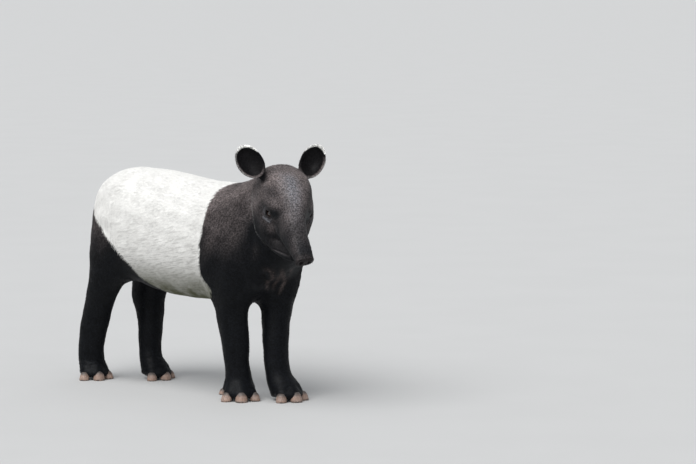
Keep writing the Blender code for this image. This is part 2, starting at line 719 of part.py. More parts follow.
def cut(thing, tool, operation="DIFFERENCE"):
    """Cuts an object with a tool object, and removes the tool."""
    tool.hide_render = True
    tool.display_type = "WIRE"
    for solver in ("EXACT", "MANIFOLD"):
        modifier = thing.modifiers.new("cut", "BOOLEAN")
        modifier.operation = operation
        modifier.solver = solver
        modifier.object = tool
        if result_size(thing) > 0:
            break
        thing.modifiers.clear()
    evaluated(thing)
    bpy.data.objects.remove(tool)
    return thing


def largest_surface(thing):
    """Keeps only an object's largest closed surface."""
    mesh = thing.data
    edges = np.zeros(len(mesh.edges) * 2, int)
    mesh.edges.foreach_get("vertices", edges)
    edges = edges.reshape(-1, 2)
    label = np.arange(len(mesh.vertices))
    while True:
        low = np.minimum(label[edges[:, 0]], label[edges[:, 1]])
        before = label.copy()
        np.minimum.at(label, edges[:, 0], low)
        np.minimum.at(label, edges[:, 1], low)
        label = label[label]
        if (label == before).all():
            break
    names, counts = np.unique(label, return_counts=True)
    keep = label == names[counts.argmax()]
    points = np.array([v.co for v in mesh.vertices])
    number = np.cumsum(keep) - 1
    faces = [[number[i] for i in f.vertices] for f in mesh.polygons if keep[f.vertices[0]]]
    mesh.clear_geometry()
    mesh.from_pydata(points[keep].tolist(), [], [list(map(int, f)) for f in faces])
    mesh.update()
    mesh.shade_smooth()
    return thing


def block(point, way, gap=GAP / 2):
    """A big block that starts gap before a plane and reaches on along way."""
    way = np.asarray(way, float) / np.linalg.norm(way)
    side = np.cross(way, [0, 0, 1] if abs(way[2]) < 0.9 else [1, 0, 0])
    side /= np.linalg.norm(side)
    rise = np.cross(way, side)
    start = np.asarray(point, float) - way * gap
    corners = [start + way * a + side * b + rise * c for a in (0, 1.5) for b in (-1, 1) for c in (-1, 1)]
    faces = [(0, 1, 3, 2), (4, 6, 7, 5), (0, 4, 5, 1), (2, 3, 7, 6), (0, 2, 6, 4), (1, 5, 7, 3)]
    return outwards(new_object("block", corners, faces))


def outwards(thing):
    """Turns a closed mesh's faces outwards."""
    mesh = thing.data
    mesh.calc_loop_triangles()
    volume = 0
    for t in mesh.loop_triangles:
        a, b, c = (np.array(mesh.vertices[i].co) for i in t.vertices)
        volume += a @ np.cross(b, c)
    if volume < 0:
        mesh.flip_normals()
    return thing


def prism(outline, low, high):
    """An outline of forward and height, carried from side low to side high."""
    n = len(outline)
    points = [place(f, side, z) for side in (low, high) for f, z in outline]
    faces = [tuple(range(n)), tuple(range(2 * n - 1, n - 1, -1))]
    faces += [(i, i + n, (i + 1) % n + n, (i + 1) % n) for i in range(n)]
    return outwards(new_object("prism", points, faces))


def leg_tool(leg, grow):
    """The arched block that parts a leg from the torso, grown by grow on every side."""
    back, front, spring, crown = LEG_CUTS[leg]
    side = -1 if leg.endswith("_r") else 1
    back, front, crown = back - grow, front + grow, crown + grow
    middle, half = (back + front) / 2, (front - back) / 2
    arch = [(middle + half * cos(a), spring + (crown - spring) * sin(a)) for a in np.linspace(0, pi, 13)]
    low = BELLY_CLEAR + grow
    wide_front, wide_back = front + LEG_SPREAD, back - LEG_SPREAD
    outline = [(wide_front, -0.05), (wide_front, low), (front, low), *arch, (back, low),
               (wide_back, low), (wide_back, -0.05)]
    inner = INNER_FACE[0][0] - grow
    tool = prism(outline, side * inner, side * 0.40)
    (x0, z0), (x1, z1) = INNER_FACE
    slope = np.array([side * (z1 - z0), 0, -(x1 - x0)])
    slope /= np.linalg.norm(slope)
    face = place(0, side * x0, z0) - slope * grow
    keep = block(face, slope, 0)
    return cut(tool, keep, "INTERSECT")


def plane_at(cut_at):
    """Point and direction of a cut that is stated as forward, side and height."""
    (forward, side, height), (ahead, sideways, up) = cut_at
    return place(forward, side, height), np.array([sideways, -ahead, up])


def head_plane(cut_at):
    """Point and direction of a cut that is stated as forward and up in the head's frame."""
    (forward, up), (ahead, rise) = cut_at
    return head_point(0, forward, up), head_way(0, ahead, rise)


def keep_ahead(thing, point, way):
    """Cuts away what lies behind a plane."""
    return cut(thing, block(point, -way))


def keep_behind(thing, point, way):
    """Cuts away what lies ahead of a plane."""
    return cut(thing, block(point, way))


def box_lines(low, high, step, finer_below=None):
    """Grid lines of a box between two corners stated in the tables' frame."""
    a, b = place(low[0], low[1], low[2]), place(high[0], high[1], high[2])
    xs = grid_line(min(a[0], b[0]), max(a[0], b[0]), step)
    ys = grid_line(min(a[1], b[1]), max(a[1], b[1]), step)
    zs = grid_line(a[2], b[2], step)
    if finer_below:
        zs = np.concatenate([grid_line(a[2], finer_below, step * 0.6)[:-1],
                             grid_line(finer_below, b[2], step)])
    return xs, ys, zs


def make_torso():
    lines = box_lines((-0.52, -0.22, 0.27), (0.50, 0.22, 0.79), CELLS["torso"])
    torso = new_object("torso", *fair_surface(field_within(body_field, lines), *lines))
    thin_out(torso, TRIANGLES["torso"])
    keep_behind(torso, *plane_at(NECK_CUT))
    for leg in LEGS:
        cut(torso, leg_tool(leg, GAP))
    return largest_surface(torso)


def field_within(field, lines):
    """A field closed off just inside the first and last grid lines."""
    low = np.array([line[0] + (line[1] - line[0]) * 0.5 for line in lines])
    high = np.array([line[-1] - (line[-1] - line[-2]) * 0.5 for line in lines])

    def closed(p):
        return np.maximum(field(p), np.maximum(low - p, p - high).max(1))
    return closed


def make_neck():
    lines = box_lines((0.20, -0.24, 0.36), (0.62, 0.22, 0.84), CELLS["neck"])
    neck = new_object("neck", *fair_surface(field_within(body_field, lines), *lines))
    thin_out(neck, TRIANGLES["neck"])
    keep_ahead(neck, *plane_at(NECK_CUT))
    keep_behind(neck, *head_plane(HEAD_CUT))
    for leg in ("foreleg_r", "foreleg_l"):
        cut(neck, leg_tool(leg, GAP))
    return largest_surface(neck)


def fine_places():
    """Where the head needs finer cells: eyes, mouth and nostrils."""
    places = []
    for side in (1, -1):
        places.append((eye_frame(side)[0], 0.024, FINE_EYE))
        places.append((head_point(side * 0.044, 0.185, -0.130), 0.052, FINE_MOUTH))
        places.append((SHAPES["nostril", side].centre, 0.016, FINE_NOSTRIL))
    places.append((head_point(0, 0.235, -0.138), 0.032, FINE_MOUTH))
    return places


def make_head():
    lines = box_lines((0.42, -0.24, 0.42), (0.82, 0.14, 0.84), CELLS["head"])
    whole = new_object("head", *fair_surface(field_within(body_field, lines), *lines, fine=fine_places()))
    thin_out(whole, TRIANGLES["head"])
    keep_ahead(whole, *head_plane(HEAD_CUT))
    snout = whole.copy()
    snout.data = whole.data.copy()
    snout.name = "snout"
    bpy.context.scene.collection.objects.link(snout)
    keep_ahead(snout, *head_plane(SNOUT_CUT))
    keep_behind(whole, *head_plane(SNOUT_CUT))
    for side in (1, -1):
        cut(whole, ball("socket", eye_frame(side)[0], EYE_RADIUS + GAP))
    return largest_surface(whole), largest_surface(snout)


def ball(name, centre, radius, rings=8, segments=12):
    """A round ball: rings of points from pole to pole."""
    points = [np.array([0, 0, radius])]
    for i in range(1, rings):
        a = pi * i / rings
        for j in range(segments):
            b = 2 * pi * j / segments
            points.append(radius * np.array([sin(a) * cos(b), sin(a) * sin(b), cos(a)]))
    points.append(np.array([0, 0, -radius]))
    faces = [(0, 1 + j, 1 + (j + 1) % segments) for j in range(segments)]
    for i in range(rings - 2):
        start = 1 + i * segments
        for j in range(segments):
            k = (j + 1) % segments
            faces.append((start + j, start + segments + j, start + segments + k, start + k))
    start, last = 1 + (rings - 2) * segments, len(points) - 1
    faces += [(last, start + (j + 1) % segments, start + j) for j in range(segments)]
    return new_object(name, np.array(points) + centre, faces)


def hoof(name, root, way, reach, half, rise, grow=0.0):
    """A horn nail: level rings that draw in and lean back towards the top."""
    segments, rings = 12, 4
    side = np.cross([0, 0, 1], way)
    front, back, width = half * HOOF_LENGTH + grow, half * HOOF_BACK + grow, half + grow
    height = half * HOOF_HEIGHT + 2 * grow
    middle, up = root + way * reach, np.array([0, 0, 1])
    points = []
    for k in range(rings):
        level = k / (rings - 1)
        z = height * sin(level * pi / 2)
        draw = (1 - 0.84 * level ** 2.2) ** 0.5
        lean = -HOOF_LEAN * half * level
        for j in range(segments):
            a = 2 * pi * j / segments
            ahead = (front if cos(a) > 0 else back) * cos(a) * draw + lean
            points.append(middle + way * ahead + side * width * sin(a) * draw + up * (z + rise - grow))
    faces = [tuple(range(segments))[::-1]]
    for k in range(rings - 1):
        for j in range(segments):
            i = (j + 1) % segments
            low, high = k * segments, (k + 1) * segments
            faces.append((low + j, low + i, high + i, high + j))
    faces.append(tuple(range((rings - 1) * segments, rings * segments)))
    return outwards(new_object(name, points, faces))


def make_leg(leg):
    """A leg with its foot, let into by its hooves."""
    back, front, _, crown = LEG_CUTS[leg]
    side = -1 if leg.endswith("_r") else 1
    foot = FEET[leg][0]
    low = (min(max(back, -0.56), foot - 0.10), min(0, side * 0.24), -0.02)
    high = (max(front, foot) + 0.10, max(0, side * 0.24), crown + 0.04)
    lines = box_lines(low, high, CELLS["leg"], finer_below=0.09)
    thing = new_object(leg, *fair_surface(field_within(body_field, lines), *lines))
    thin_out(thing, TRIANGLES["leg"])
    cut(thing, leg_tool(leg, 0), "INTERSECT")
    hooves = []
    for name, root, way, reach, half, rise in foot_toes(leg):
        cut(thing, hoof("tool", root, way, reach, half, rise, GAP))
        hooves.append(hoof(f"hoof_{leg}_{name}", root, way, reach, half, rise))
    return largest_surface(thing), hooves


def make_tail(torso):
    tail = SHAPES["tail"]
    reach = 2 * TAIL[0][2]
    lines = [grid_line(a - reach, b + reach, CELLS["tail"]) for a, b in zip(tail.low, tail.high)]
    thing = new_object("tail", *fair_surface(tail, *lines))
    thin_out(thing, TRIANGLES["tail"])
    cut(thing, swollen(torso, GAP))
    return largest_surface(thing)


def swollen(thing, amount):
    """A copy of an object with each point moved out along its normal."""
    mesh = thing.data
    points = np.array([v.co for v in mesh.vertices])
    normals = np.array([v.normal for v in mesh.vertices])
    faces = [tuple(f.vertices) for f in mesh.polygons]
    return new_object("swollen", points + normals * amount, faces)


def make_ear(name, head, neck):
    middle = ear_axes(name)[0]
    reach = 0.11
    lines = [grid_line(c - reach, c + reach, CELLS["ear"]) for c in middle]
    ear = new_object(name, *fair_surface(lambda p: ear_field(name, p), *lines))
    thin_out(ear, TRIANGLES["ear"])
    for neighbour in (head, neck):
        cut(ear, swollen(neighbour, GAP))
    return largest_surface(ear)


def main():
    for thing in list(bpy.data.objects):
        bpy.data.objects.remove(thing, do_unlink=True)
    black = finish_material("black coat", BLACK_COAT, 0.75)
    white = finish_material("white coat", WHITE_COAT, 0.80)
    horn = finish_material("hoof horn", HOOF_HORN, 0.55)
    wet = finish_material("eye", EYE_BROWN, 0.05)

    torso, neck = make_torso(), make_neck()
    tail = make_tail(torso)
    head, snout = make_head()
    dressed = [(torso, white), (tail, black), (neck, black), (head, black), (snout, black)]
    dressed += [(make_ear(name, head, neck), black) for name in EARS]
    for side, name in ((1, "eye_l"), (-1, "eye_r")):
        dressed.append((ball(name, eye_frame(side)[0], EYE_RADIUS), wet))
    for leg in LEGS:
        thing, hooves = make_leg(leg)
        dressed.append((thing, black))
        dressed += [(nail, horn) for nail in hooves]
    for thing, material in dressed:
        thing.data.materials.clear()
        thing.data.materials.append(material)


main()
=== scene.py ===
"""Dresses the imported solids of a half-grown malayan tapir: one skin with its folds, the short coat,
the hooves and the eyes, on a plain pale floor.

Frame: metres, +Z up, the animal faces -Y and its left side is +X. In the tables "forward" is -Y and
"side" is +X, as in the solids' own source.
"""

from math import cos, pi, radians, sin

import bpy
import numpy as np
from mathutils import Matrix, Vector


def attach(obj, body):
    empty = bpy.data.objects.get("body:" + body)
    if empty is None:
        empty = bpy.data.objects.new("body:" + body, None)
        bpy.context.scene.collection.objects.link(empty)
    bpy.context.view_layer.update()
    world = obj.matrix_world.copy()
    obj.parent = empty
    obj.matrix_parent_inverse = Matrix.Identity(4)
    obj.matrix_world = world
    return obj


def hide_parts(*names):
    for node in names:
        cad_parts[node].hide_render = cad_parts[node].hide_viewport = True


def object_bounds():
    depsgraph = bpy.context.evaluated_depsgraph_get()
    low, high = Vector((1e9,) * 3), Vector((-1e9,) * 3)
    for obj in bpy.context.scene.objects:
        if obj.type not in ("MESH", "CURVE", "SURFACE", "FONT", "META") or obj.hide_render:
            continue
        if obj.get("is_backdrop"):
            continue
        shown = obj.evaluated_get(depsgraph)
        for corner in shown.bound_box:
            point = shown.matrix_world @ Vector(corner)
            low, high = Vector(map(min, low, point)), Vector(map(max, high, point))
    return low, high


bl_info = {
    "name": "Malayan tapir",
    "version": (1, 0, 0),
    "blender": (4, 5, 0),
    "location": "3D View > Sidebar > Tapir",
    "description": "Skin, short coat, hooves and eyes of a half-grown malayan tapir",
    "category": "Add Mesh",
}

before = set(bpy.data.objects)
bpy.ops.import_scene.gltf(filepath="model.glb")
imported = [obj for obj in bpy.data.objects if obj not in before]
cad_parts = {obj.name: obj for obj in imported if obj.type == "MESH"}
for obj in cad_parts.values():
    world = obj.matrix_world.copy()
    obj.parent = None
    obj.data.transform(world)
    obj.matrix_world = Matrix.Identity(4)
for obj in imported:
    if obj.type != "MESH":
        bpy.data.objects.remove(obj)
CAD_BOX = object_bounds()

FLESH = ("torso", "tail", "neck", "head", "snout", "ear_r", "ear_l",
         "foreleg_r", "foreleg_l", "hindleg_r", "hindleg_l")

# Where the middle of the whole model lies, forward and to the side, in the tables' own frame
CENTRE_FORWARD = 0.108
CENTRE_SIDE = -0.015

# Turn of the head: to its right, nose down, and leaning to its left; and the middle of its nape
HEAD_YAW = radians(25)
HEAD_PITCH = radians(22)
HEAD_ROLL = radians(3)
HEAD_FORWARD, HEAD_SIDE, HEAD_HEIGHT = 0.490, -0.048, 0.731

# Trunk, rump to chest: forward, top, bottom, half width
TRUNK = [
    (-0.275, 0.750, 0.384, 0.154),
    (-0.205, 0.751, 0.358, 0.165),
    (-0.100, 0.742, 0.330, 0.174),
    (0.020, 0.727, 0.320, 0.175),
    (0.130, 0.709, 0.320, 0.166),
    (0.240, 0.697, 0.330, 0.152),
    (0.330, 0.682, 0.350, 0.134),
    (0.390, 0.640, 0.385, 0.108),
    (0.420, 0.590, 0.425, 0.082),
]
TRUNK_MIDDLE = 0.52          # height of the widest line, as a share of the depth
TRUNK_SQUARE = 2.2           # power of its section: 2 is an ellipse
RUMP_ROUND = 0.92            # length of the round rump, as a share of the half width there

# Neck: forward, side, height, half width, up, down
NECK = [
    (0.180, 0.000, 0.550, 0.118, 0.118, 0.145),
    (0.290, -0.004, 0.564, 0.114, 0.132, 0.150),
    (0.370, -0.015, 0.606, 0.104, 0.128, 0.140),
    (0.430, -0.030, 0.655, 0.094, 0.116, 0.132),
    (0.490, -0.051, 0.692, 0.084, 0.094, 0.112),
]

# Legs, top to bottom: height, forward, side, half width, half depth in front, half depth behind
LEGS = {
    "foreleg_r": [
        (0.605, 0.245, -0.078, 0.050, 0.080, 0.080),
        (0.500, 0.285, -0.090, 0.056, 0.100, 0.090),
        (0.410, 0.282, -0.086, 0.056, 0.080, 0.085),
        (0.325, 0.266, -0.073, 0.053, 0.056, 0.060),
        (0.250, 0.266, -0.063, 0.052, 0.050, 0.050),
        (0.190, 0.270, -0.057, 0.049, 0.048, 0.044),
        (0.125, 0.270, -0.051, 0.044, 0.040, 0.040),
        (0.075, 0.274, -0.047, 0.047, 0.042, 0.042),
        (0.034, 0.282, -0.046, 0.056, 0.046, 0.042),
    ],
    "foreleg_l": [
        (0.605, 0.275, 0.078, 0.050, 0.080, 0.080),
        (0.500, 0.315, 0.094, 0.060, 0.095, 0.090),
        (0.410, 0.330, 0.092, 0.062, 0.080, 0.085),
        (0.325, 0.332, 0.078, 0.055, 0.058, 0.060),
        (0.250, 0.340, 0.063, 0.047, 0.048, 0.050),
        (0.190, 0.350, 0.053, 0.046, 0.043, 0.046),
        (0.125, 0.360, 0.048, 0.044, 0.037, 0.042),
        (0.075, 0.372, 0.048, 0.046, 0.041, 0.045),
        (0.034, 0.395, 0.050, 0.053, 0.046, 0.047),
    ],
    "hindleg_r": [
        (0.640, -0.280, -0.086, 0.058, 0.100, 0.070),
        (0.540, -0.290, -0.102, 0.062, 0.118, 0.068),
        (0.440, -0.312, -0.106, 0.061, 0.108, 0.083),
        (0.355, -0.350, -0.098, 0.055, 0.066, 0.066),
        (0.285, -0.388, -0.090, 0.050, 0.050, 0.054),
        (0.205, -0.424, -0.085, 0.047, 0.052, 0.050),
        (0.130, -0.448, -0.082, 0.045, 0.050, 0.045),
        (0.080, -0.454, -0.079, 0.045, 0.048, 0.043),
        (0.034, -0.448, -0.076, 0.050, 0.046, 0.042),
    ],
    "hindleg_l": [
        (0.640, -0.280, 0.088, 0.058, 0.100, 0.075),
        (0.540, -0.285, 0.102, 0.062, 0.120, 0.078),
        (0.440, -0.300, 0.104, 0.062, 0.106, 0.104),
        (0.355, -0.318, 0.096, 0.055, 0.066, 0.092),
        (0.290, -0.323, 0.088, 0.049, 0.052, 0.088),
        (0.210, -0.317, 0.080, 0.045, 0.046, 0.052),
        (0.130, -0.314, 0.074, 0.040, 0.039, 0.044),
        (0.080, -0.308, 0.071, 0.041, 0.040, 0.042),
        (0.034, -0.290, 0.070, 0.048, 0.046, 0.042),
    ],
}

# Feet: forward, side, heading in degrees to the animal's right
FEET = {
    "foreleg_r": (0.278, -0.046, 38),
    "foreleg_l": (0.390, 0.050, 4),
    "hindleg_r": (-0.452, -0.076, 18),
    "hindleg_l": (-0.296, 0.070, -4),
}
# Toes: name, angle from the foot's heading (outwards is positive), reach, half width, rise
FORE_TOES = [("mid", 0, 0.066, 0.0208, 0), ("inner", -47, 0.064, 0.0185, 0),
             ("outer", 48, 0.065, 0.0188, 0), ("small", 88, 0.058, 0.0125, 0.018)]
HIND_TOES = [("mid", 0, 0.063, 0.0203, 0), ("inner", -48, 0.060, 0.0178, 0),
             ("outer", 49, 0.061, 0.0178, 0)]
HOOF_LENGTH = 1.05           # front half, as a share of the hoof's half width
HOOF_BACK = 0.80             # its rear half, in the same share
HOOF_HEIGHT = 1.65
HOOF_LEAN = 0.42             # how far its top lies behind its foot, as a share of the half width
PAD = ((0.020, 0.024), (0.046, 0.052, 0.021))      # forward and height in the foot, and half sizes
FLESH_CLEAR = 0.003          # the hooves carry the weight: the pads stay this far off the ground

# Skull with snout, and jaw, in the head's frame: forward, side, up, half width, half height above and
# below, power of the section
SKULL = [
    (-0.020, 0.000, 0.000, 0.068, 0.054, 0.080, 2.4),
    (0.030, 0.000, -0.002, 0.077, 0.071, 0.100, 2.7),
    (0.080, -0.002, -0.012, 0.075, 0.074, 0.105, 2.5),
    (0.125, -0.006, -0.032, 0.058, 0.070, 0.098, 2.2),
    (0.170, -0.010, -0.056, 0.044, 0.057, 0.086, 2.0),
    (0.210, -0.010, -0.077, 0.040, 0.045, 0.062, 2.0),
    (0.245, -0.006, -0.096, 0.037, 0.037, 0.042, 2.2),
    (0.275, -0.002, -0.112, 0.035, 0.030, 0.028, 2.4),
    (0.300, 0.002, -0.126, 0.033, 0.024, 0.022, 2.4),
]
JAW = [
    (0.015, 0.000, -0.094, 0.070, 0.050, 0.050, 2.0),
    (0.070, 0.000, -0.132, 0.072, 0.050, 0.043, 2.0),
    (0.120, 0.000, -0.153, 0.063, 0.040, 0.033, 2.0),
    (0.165, 0.000, -0.160, 0.048, 0.030, 0.026, 2.0),
    (0.200, 0.001, -0.157, 0.035, 0.023, 0.019, 2.0),
    (0.224, 0.002, -0.151, 0.025, 0.016, 0.014, 2.0),
]
# Cheek and brow: side, forward, up in the head's frame, then half sizes
CHEEK = ((0.050, 0.070, -0.088), (0.040, 0.060, 0.056))
BROW = ((0.050, 0.103, -0.025), (0.023, 0.036, 0.020))

# Eyes in the head's frame
EYE_AT = (0.0605, 0.105, -0.052)
FACE_SIDE = -0.005           # how far eyes and brows lie to the right of the head's middle
EYE_FACES = (0.76, 0.62, 0.16)
EYE_RADIUS = 0.0125
LID = 0.0034                 # thickness of the lids over the eyeball
LID_OPENING = (0.0118, 0.0072)      # half length and half height of the opening
LID_SLANT = radians(28)      # front corner low

# Mouth: it runs forward from its corner at this height under the snout
MOUTH_CORNER = 0.146
MOUTH_LEVEL = (-0.159, -0.146)      # height at the corner and at the front
MOUTH_FRONT = 0.222
LIP = 0.0025                 # how far the lips stand out along the line
MOUTH_DEPTH = 0.0052
MOUTH_WIDTH = 0.0030         # half width of the groove between the lips

NOSTRIL = ((0.0145, 0.310, -0.131), (0.0048, 0.0120, 0.0075))
SNOUT_SIDE = 0.002           # how far the snout's tip lies to the left of the head's middle

# Ears: middle of the rim (forward, side, height), way the cup faces (degrees to the right, and
# upwards), lean of the long axis outwards from upright
EARS = {
    "ear_r": ((0.470, -0.174, 0.811), 42, 4, -36),
    "ear_l": ((0.545, 0.036, 0.806), 26, 4, 30),
}
EAR_HALF = (0.057, 0.0415)   # half length and half width of the rim
EAR_DEPTH = 0.034
EAR_RIM = 0.35               # the rim's place, as a share of the bowl's depth in front of its middle
EAR_STEM = 0.021

# Tail, root to tip: forward, height, radius
TAIL = [(-0.375, 0.645, 0.026), (-0.413, 0.612, 0.021), (-0.436, 0.568, 0.016), (-0.444, 0.524, 0.010)]

# How widely shapes are filled out where they meet
MELT = {"trunk to neck": 0.12, "to head": 0.045, "to leg": 0.07, "toes": 0.014, "jaw": 0.03, "tail": 0.016,
        "cheek": 0.045, "brow": 0.030, "lids": 0.010, "ear": 0.010, "ear stem": 0.012}
EAR_SKIN = 0.0045            # wall of the ears as skin, without the coat

# Folds: spacing and depth of the rings round the snout, drop and depth of the furrows under the eyes,
# and for each leg the height, depth and half width of its creases
SNOUT_RING = 0.0105
SNOUT_RING_DEPTH = 0.0010
EYE_FURROWS = [(-0.0135, 0.0012), (-0.0195, 0.0012), (-0.0265, 0.0009), (0.0120, 0.0010)]
LEG_CREASES = {
    "foreleg_r": [(0.205, 0.0016, 0.004), (0.190, 0.0014, 0.003),
                  (0.070, 0.0014, 0.003), (0.058, 0.0012, 0.003)],
    "foreleg_l": [(0.205, 0.0016, 0.004), (0.188, 0.0014, 0.003),
                  (0.070, 0.0014, 0.003), (0.058, 0.0012, 0.003)],
    "hindleg_r": [(0.205, 0.0016, 0.004), (0.185, 0.0012, 0.003),
                  (0.074, 0.0014, 0.003), (0.060, 0.0012, 0.003)],
    "hindleg_l": [(0.210, 0.0016, 0.004), (0.190, 0.0012, 0.003),
                  (0.074, 0.0014, 0.003), (0.060, 0.0012, 0.003)],
}
# White fringe of the ears, in radians from the ear's tip: its middle and its reach to either side, and
# the middle of the thin pale line at the ear's lower edge
FRINGE_MIDDLE = {"ear_r": -0.35, "ear_l": 0.26}
FRINGE_REACH = 0.98
EAR_LOW_EDGE = {"ear_r": 1.6, "ear_l": -2.2}

# Creases: half width and depth, then the points of the line. Those of the face are given as side,
# forward and up in the head's frame, those of the body as forward, side and height
FACE_CREASES = [
    (0.0042, 0.0042, [(0.072, 0.122, -0.066), (0.063, 0.133, -0.078), (0.056, 0.139, -0.098),
                      (0.050, 0.141, -0.118), (0.050, 0.139, -0.134)]),
    (0.0035, 0.0022, [(0.050, 0.140, -0.128), (0.045, 0.150, -0.128), (0.040, 0.165, -0.122)]),
    (0.0030, 0.0016, [(0.084, 0.070, -0.060), (0.086, 0.062, -0.085), (0.086, 0.066, -0.110)]),
]
BODY_CREASES = [
    (0.0060, 0.0056, [(0.432, -0.088, 0.456), (0.433, -0.050, 0.431), (0.410, -0.025, 0.405),
                      (0.372, -0.020, 0.380)]),
    (0.0055, 0.0052, [(0.458, -0.030, 0.449), (0.430, -0.006, 0.424), (0.396, 0.008, 0.399),
                      (0.368, 0.010, 0.372)]),
    (0.0050, 0.0042, [(0.452, 0.020, 0.445), (0.436, 0.036, 0.420), (0.405, 0.042, 0.390)]),
    (0.0048, 0.0040, [(0.427, -0.083, 0.449), (0.389, -0.029, 0.402), (0.365, -0.007, 0.365)]),
    (0.0048, 0.0040, [(0.447, -0.065, 0.456), (0.414, -0.007, 0.409), (0.367, 0.019, 0.363)]),
    (0.0048, 0.0040, [(0.451, -0.019, 0.440), (0.399, 0.039, 0.391), (0.373, 0.037, 0.349)]),
]
# In the head's frame: the ridge below each eye, which carries painted grey sheen, the dimple above each
# corner of the mouth with its depth and half width, the painted lit spot on each cheek, and painted shade
# on the right upper lip
LID_RIDGE = [(0.086, 0.092, -0.070), (0.080, 0.110, -0.072), (0.069, 0.128, -0.075)]
DIMPLE_AT = (0.050, 0.139, -0.130)
DIMPLE_DEPTH, DIMPLE_WIDTH = 0.0060, 0.0075
CHEEK_LIGHT = (0.068, 0.135, -0.092)
LIP_SHADE = (-0.038, 0.172, -0.140)
# Where the right cheek lies against the neck, how deep the fold is, and how far from that line its
# shadow and its pale edge lie
CHEEK_EDGE = [(0.404, -0.109, 0.719), (0.417, -0.126, 0.682), (0.427, -0.136, 0.644),
              (0.433, -0.137, 0.611), (0.441, -0.131, 0.579), (0.455, -0.122, 0.549),
              (0.463, -0.103, 0.522)]
CHEEK_FOLD = 0.0095
CHEEK_SHADOW_SHIFT, CHEEK_PALE_SHIFT = (-0.010, 0.012, 0), (-0.002, -0.010, 0)
CREASE_WARM_SHIFT = (0.006, -0.002, 0.006)    # how far from the creases of the chest the pinkish-brown stripes in the bare skin's colour lie
# Ridges: half width and height, then the points as side, forward and up in the head's frame; painted grey
# sheen lies along them
FACE_RIDGES = [
    (0.0045, 0.0022, [(0.060, 0.142, -0.082), (0.050, 0.156, -0.104), (0.042, 0.180, -0.118),
                      (0.040, 0.215, -0.126)]),
    (0.0060, 0.0020, [(0.078, 0.020, -0.090), (0.082, 0.050, -0.130), (0.070, 0.090, -0.160)]),
]


def turn_x(a):
    return np.array([[1, 0, 0], [0, cos(a), -sin(a)], [0, sin(a), cos(a)]])


def turn_y(a):
    return np.array([[cos(a), 0, sin(a)], [0, 1, 0], [-sin(a), 0, cos(a)]])


def turn_z(a):
    return np.array([[cos(a), -sin(a), 0], [sin(a), cos(a), 0], [0, 0, 1]])


HEAD_TURN = turn_z(-HEAD_YAW) @ turn_x(HEAD_PITCH) @ turn_y(HEAD_ROLL)


def place(forward, side, height):
    """A point of the tables in the model's frame."""
    return np.array([side - CENTRE_SIDE, CENTRE_FORWARD - forward, height])


def head_point(side, forward, up):
    """A point given in the head's own frame, in the model's frame."""
    nape = place(HEAD_FORWARD, HEAD_SIDE, HEAD_HEIGHT)
    return nape + HEAD_TURN @ np.array([side, -forward, up])


def head_way(side, forward, up):
    """A unit direction given in the head's own frame."""
    way = HEAD_TURN @ np.array([side, -forward, up])
    return way / np.linalg.norm(way)


def in_head(p):
    """How far each point lies sideways, forward and up in the head's own frame."""
    own = (p - head_point(0, 0, 0)) @ HEAD_TURN
    return own[:, 0], -own[:, 1], own[:, 2]


def on_side(sign, points):
    """Points given in the head's own frame, in the model's frame: on its left for 1, mirrored for -1."""
    return [head_point(sign * side, forward, up) for side, forward, up in points]


def body_line(points, shift=(0, 0, 0)):
    """A line of the body's tables in the model's frame, moved by shift."""
    return [place(*q) + np.array(shift) for q in points]


def mouth_level(forward):
    """Height of the mouth's line that far forward, both in the head's own frame."""
    share = np.clip((forward - MOUTH_CORNER) / (MOUTH_FRONT - MOUTH_CORNER), 0, 1)
    return MOUTH_LEVEL[0] + share * (MOUTH_LEVEL[1] - MOUTH_LEVEL[0])


def smooth_rows(rows, count):
    """count rows on the cubic curve through the given rows, with slopes from their neighbours."""
    v = np.asarray(rows, float)
    slope = np.gradient(v, axis=0)
    t = np.linspace(0, len(v) - 1, count)
    i = np.minimum(t.astype(int), len(v) - 2)
    s = (t - i)[:, None]
    rise = s * s * (3 - 2 * s)
    start = s * (1 - s) ** 2 * slope[i]
    end = s * s * (s - 1) * slope[i + 1]
    return v[i] * (1 - rise) + v[i + 1] * rise + start + end


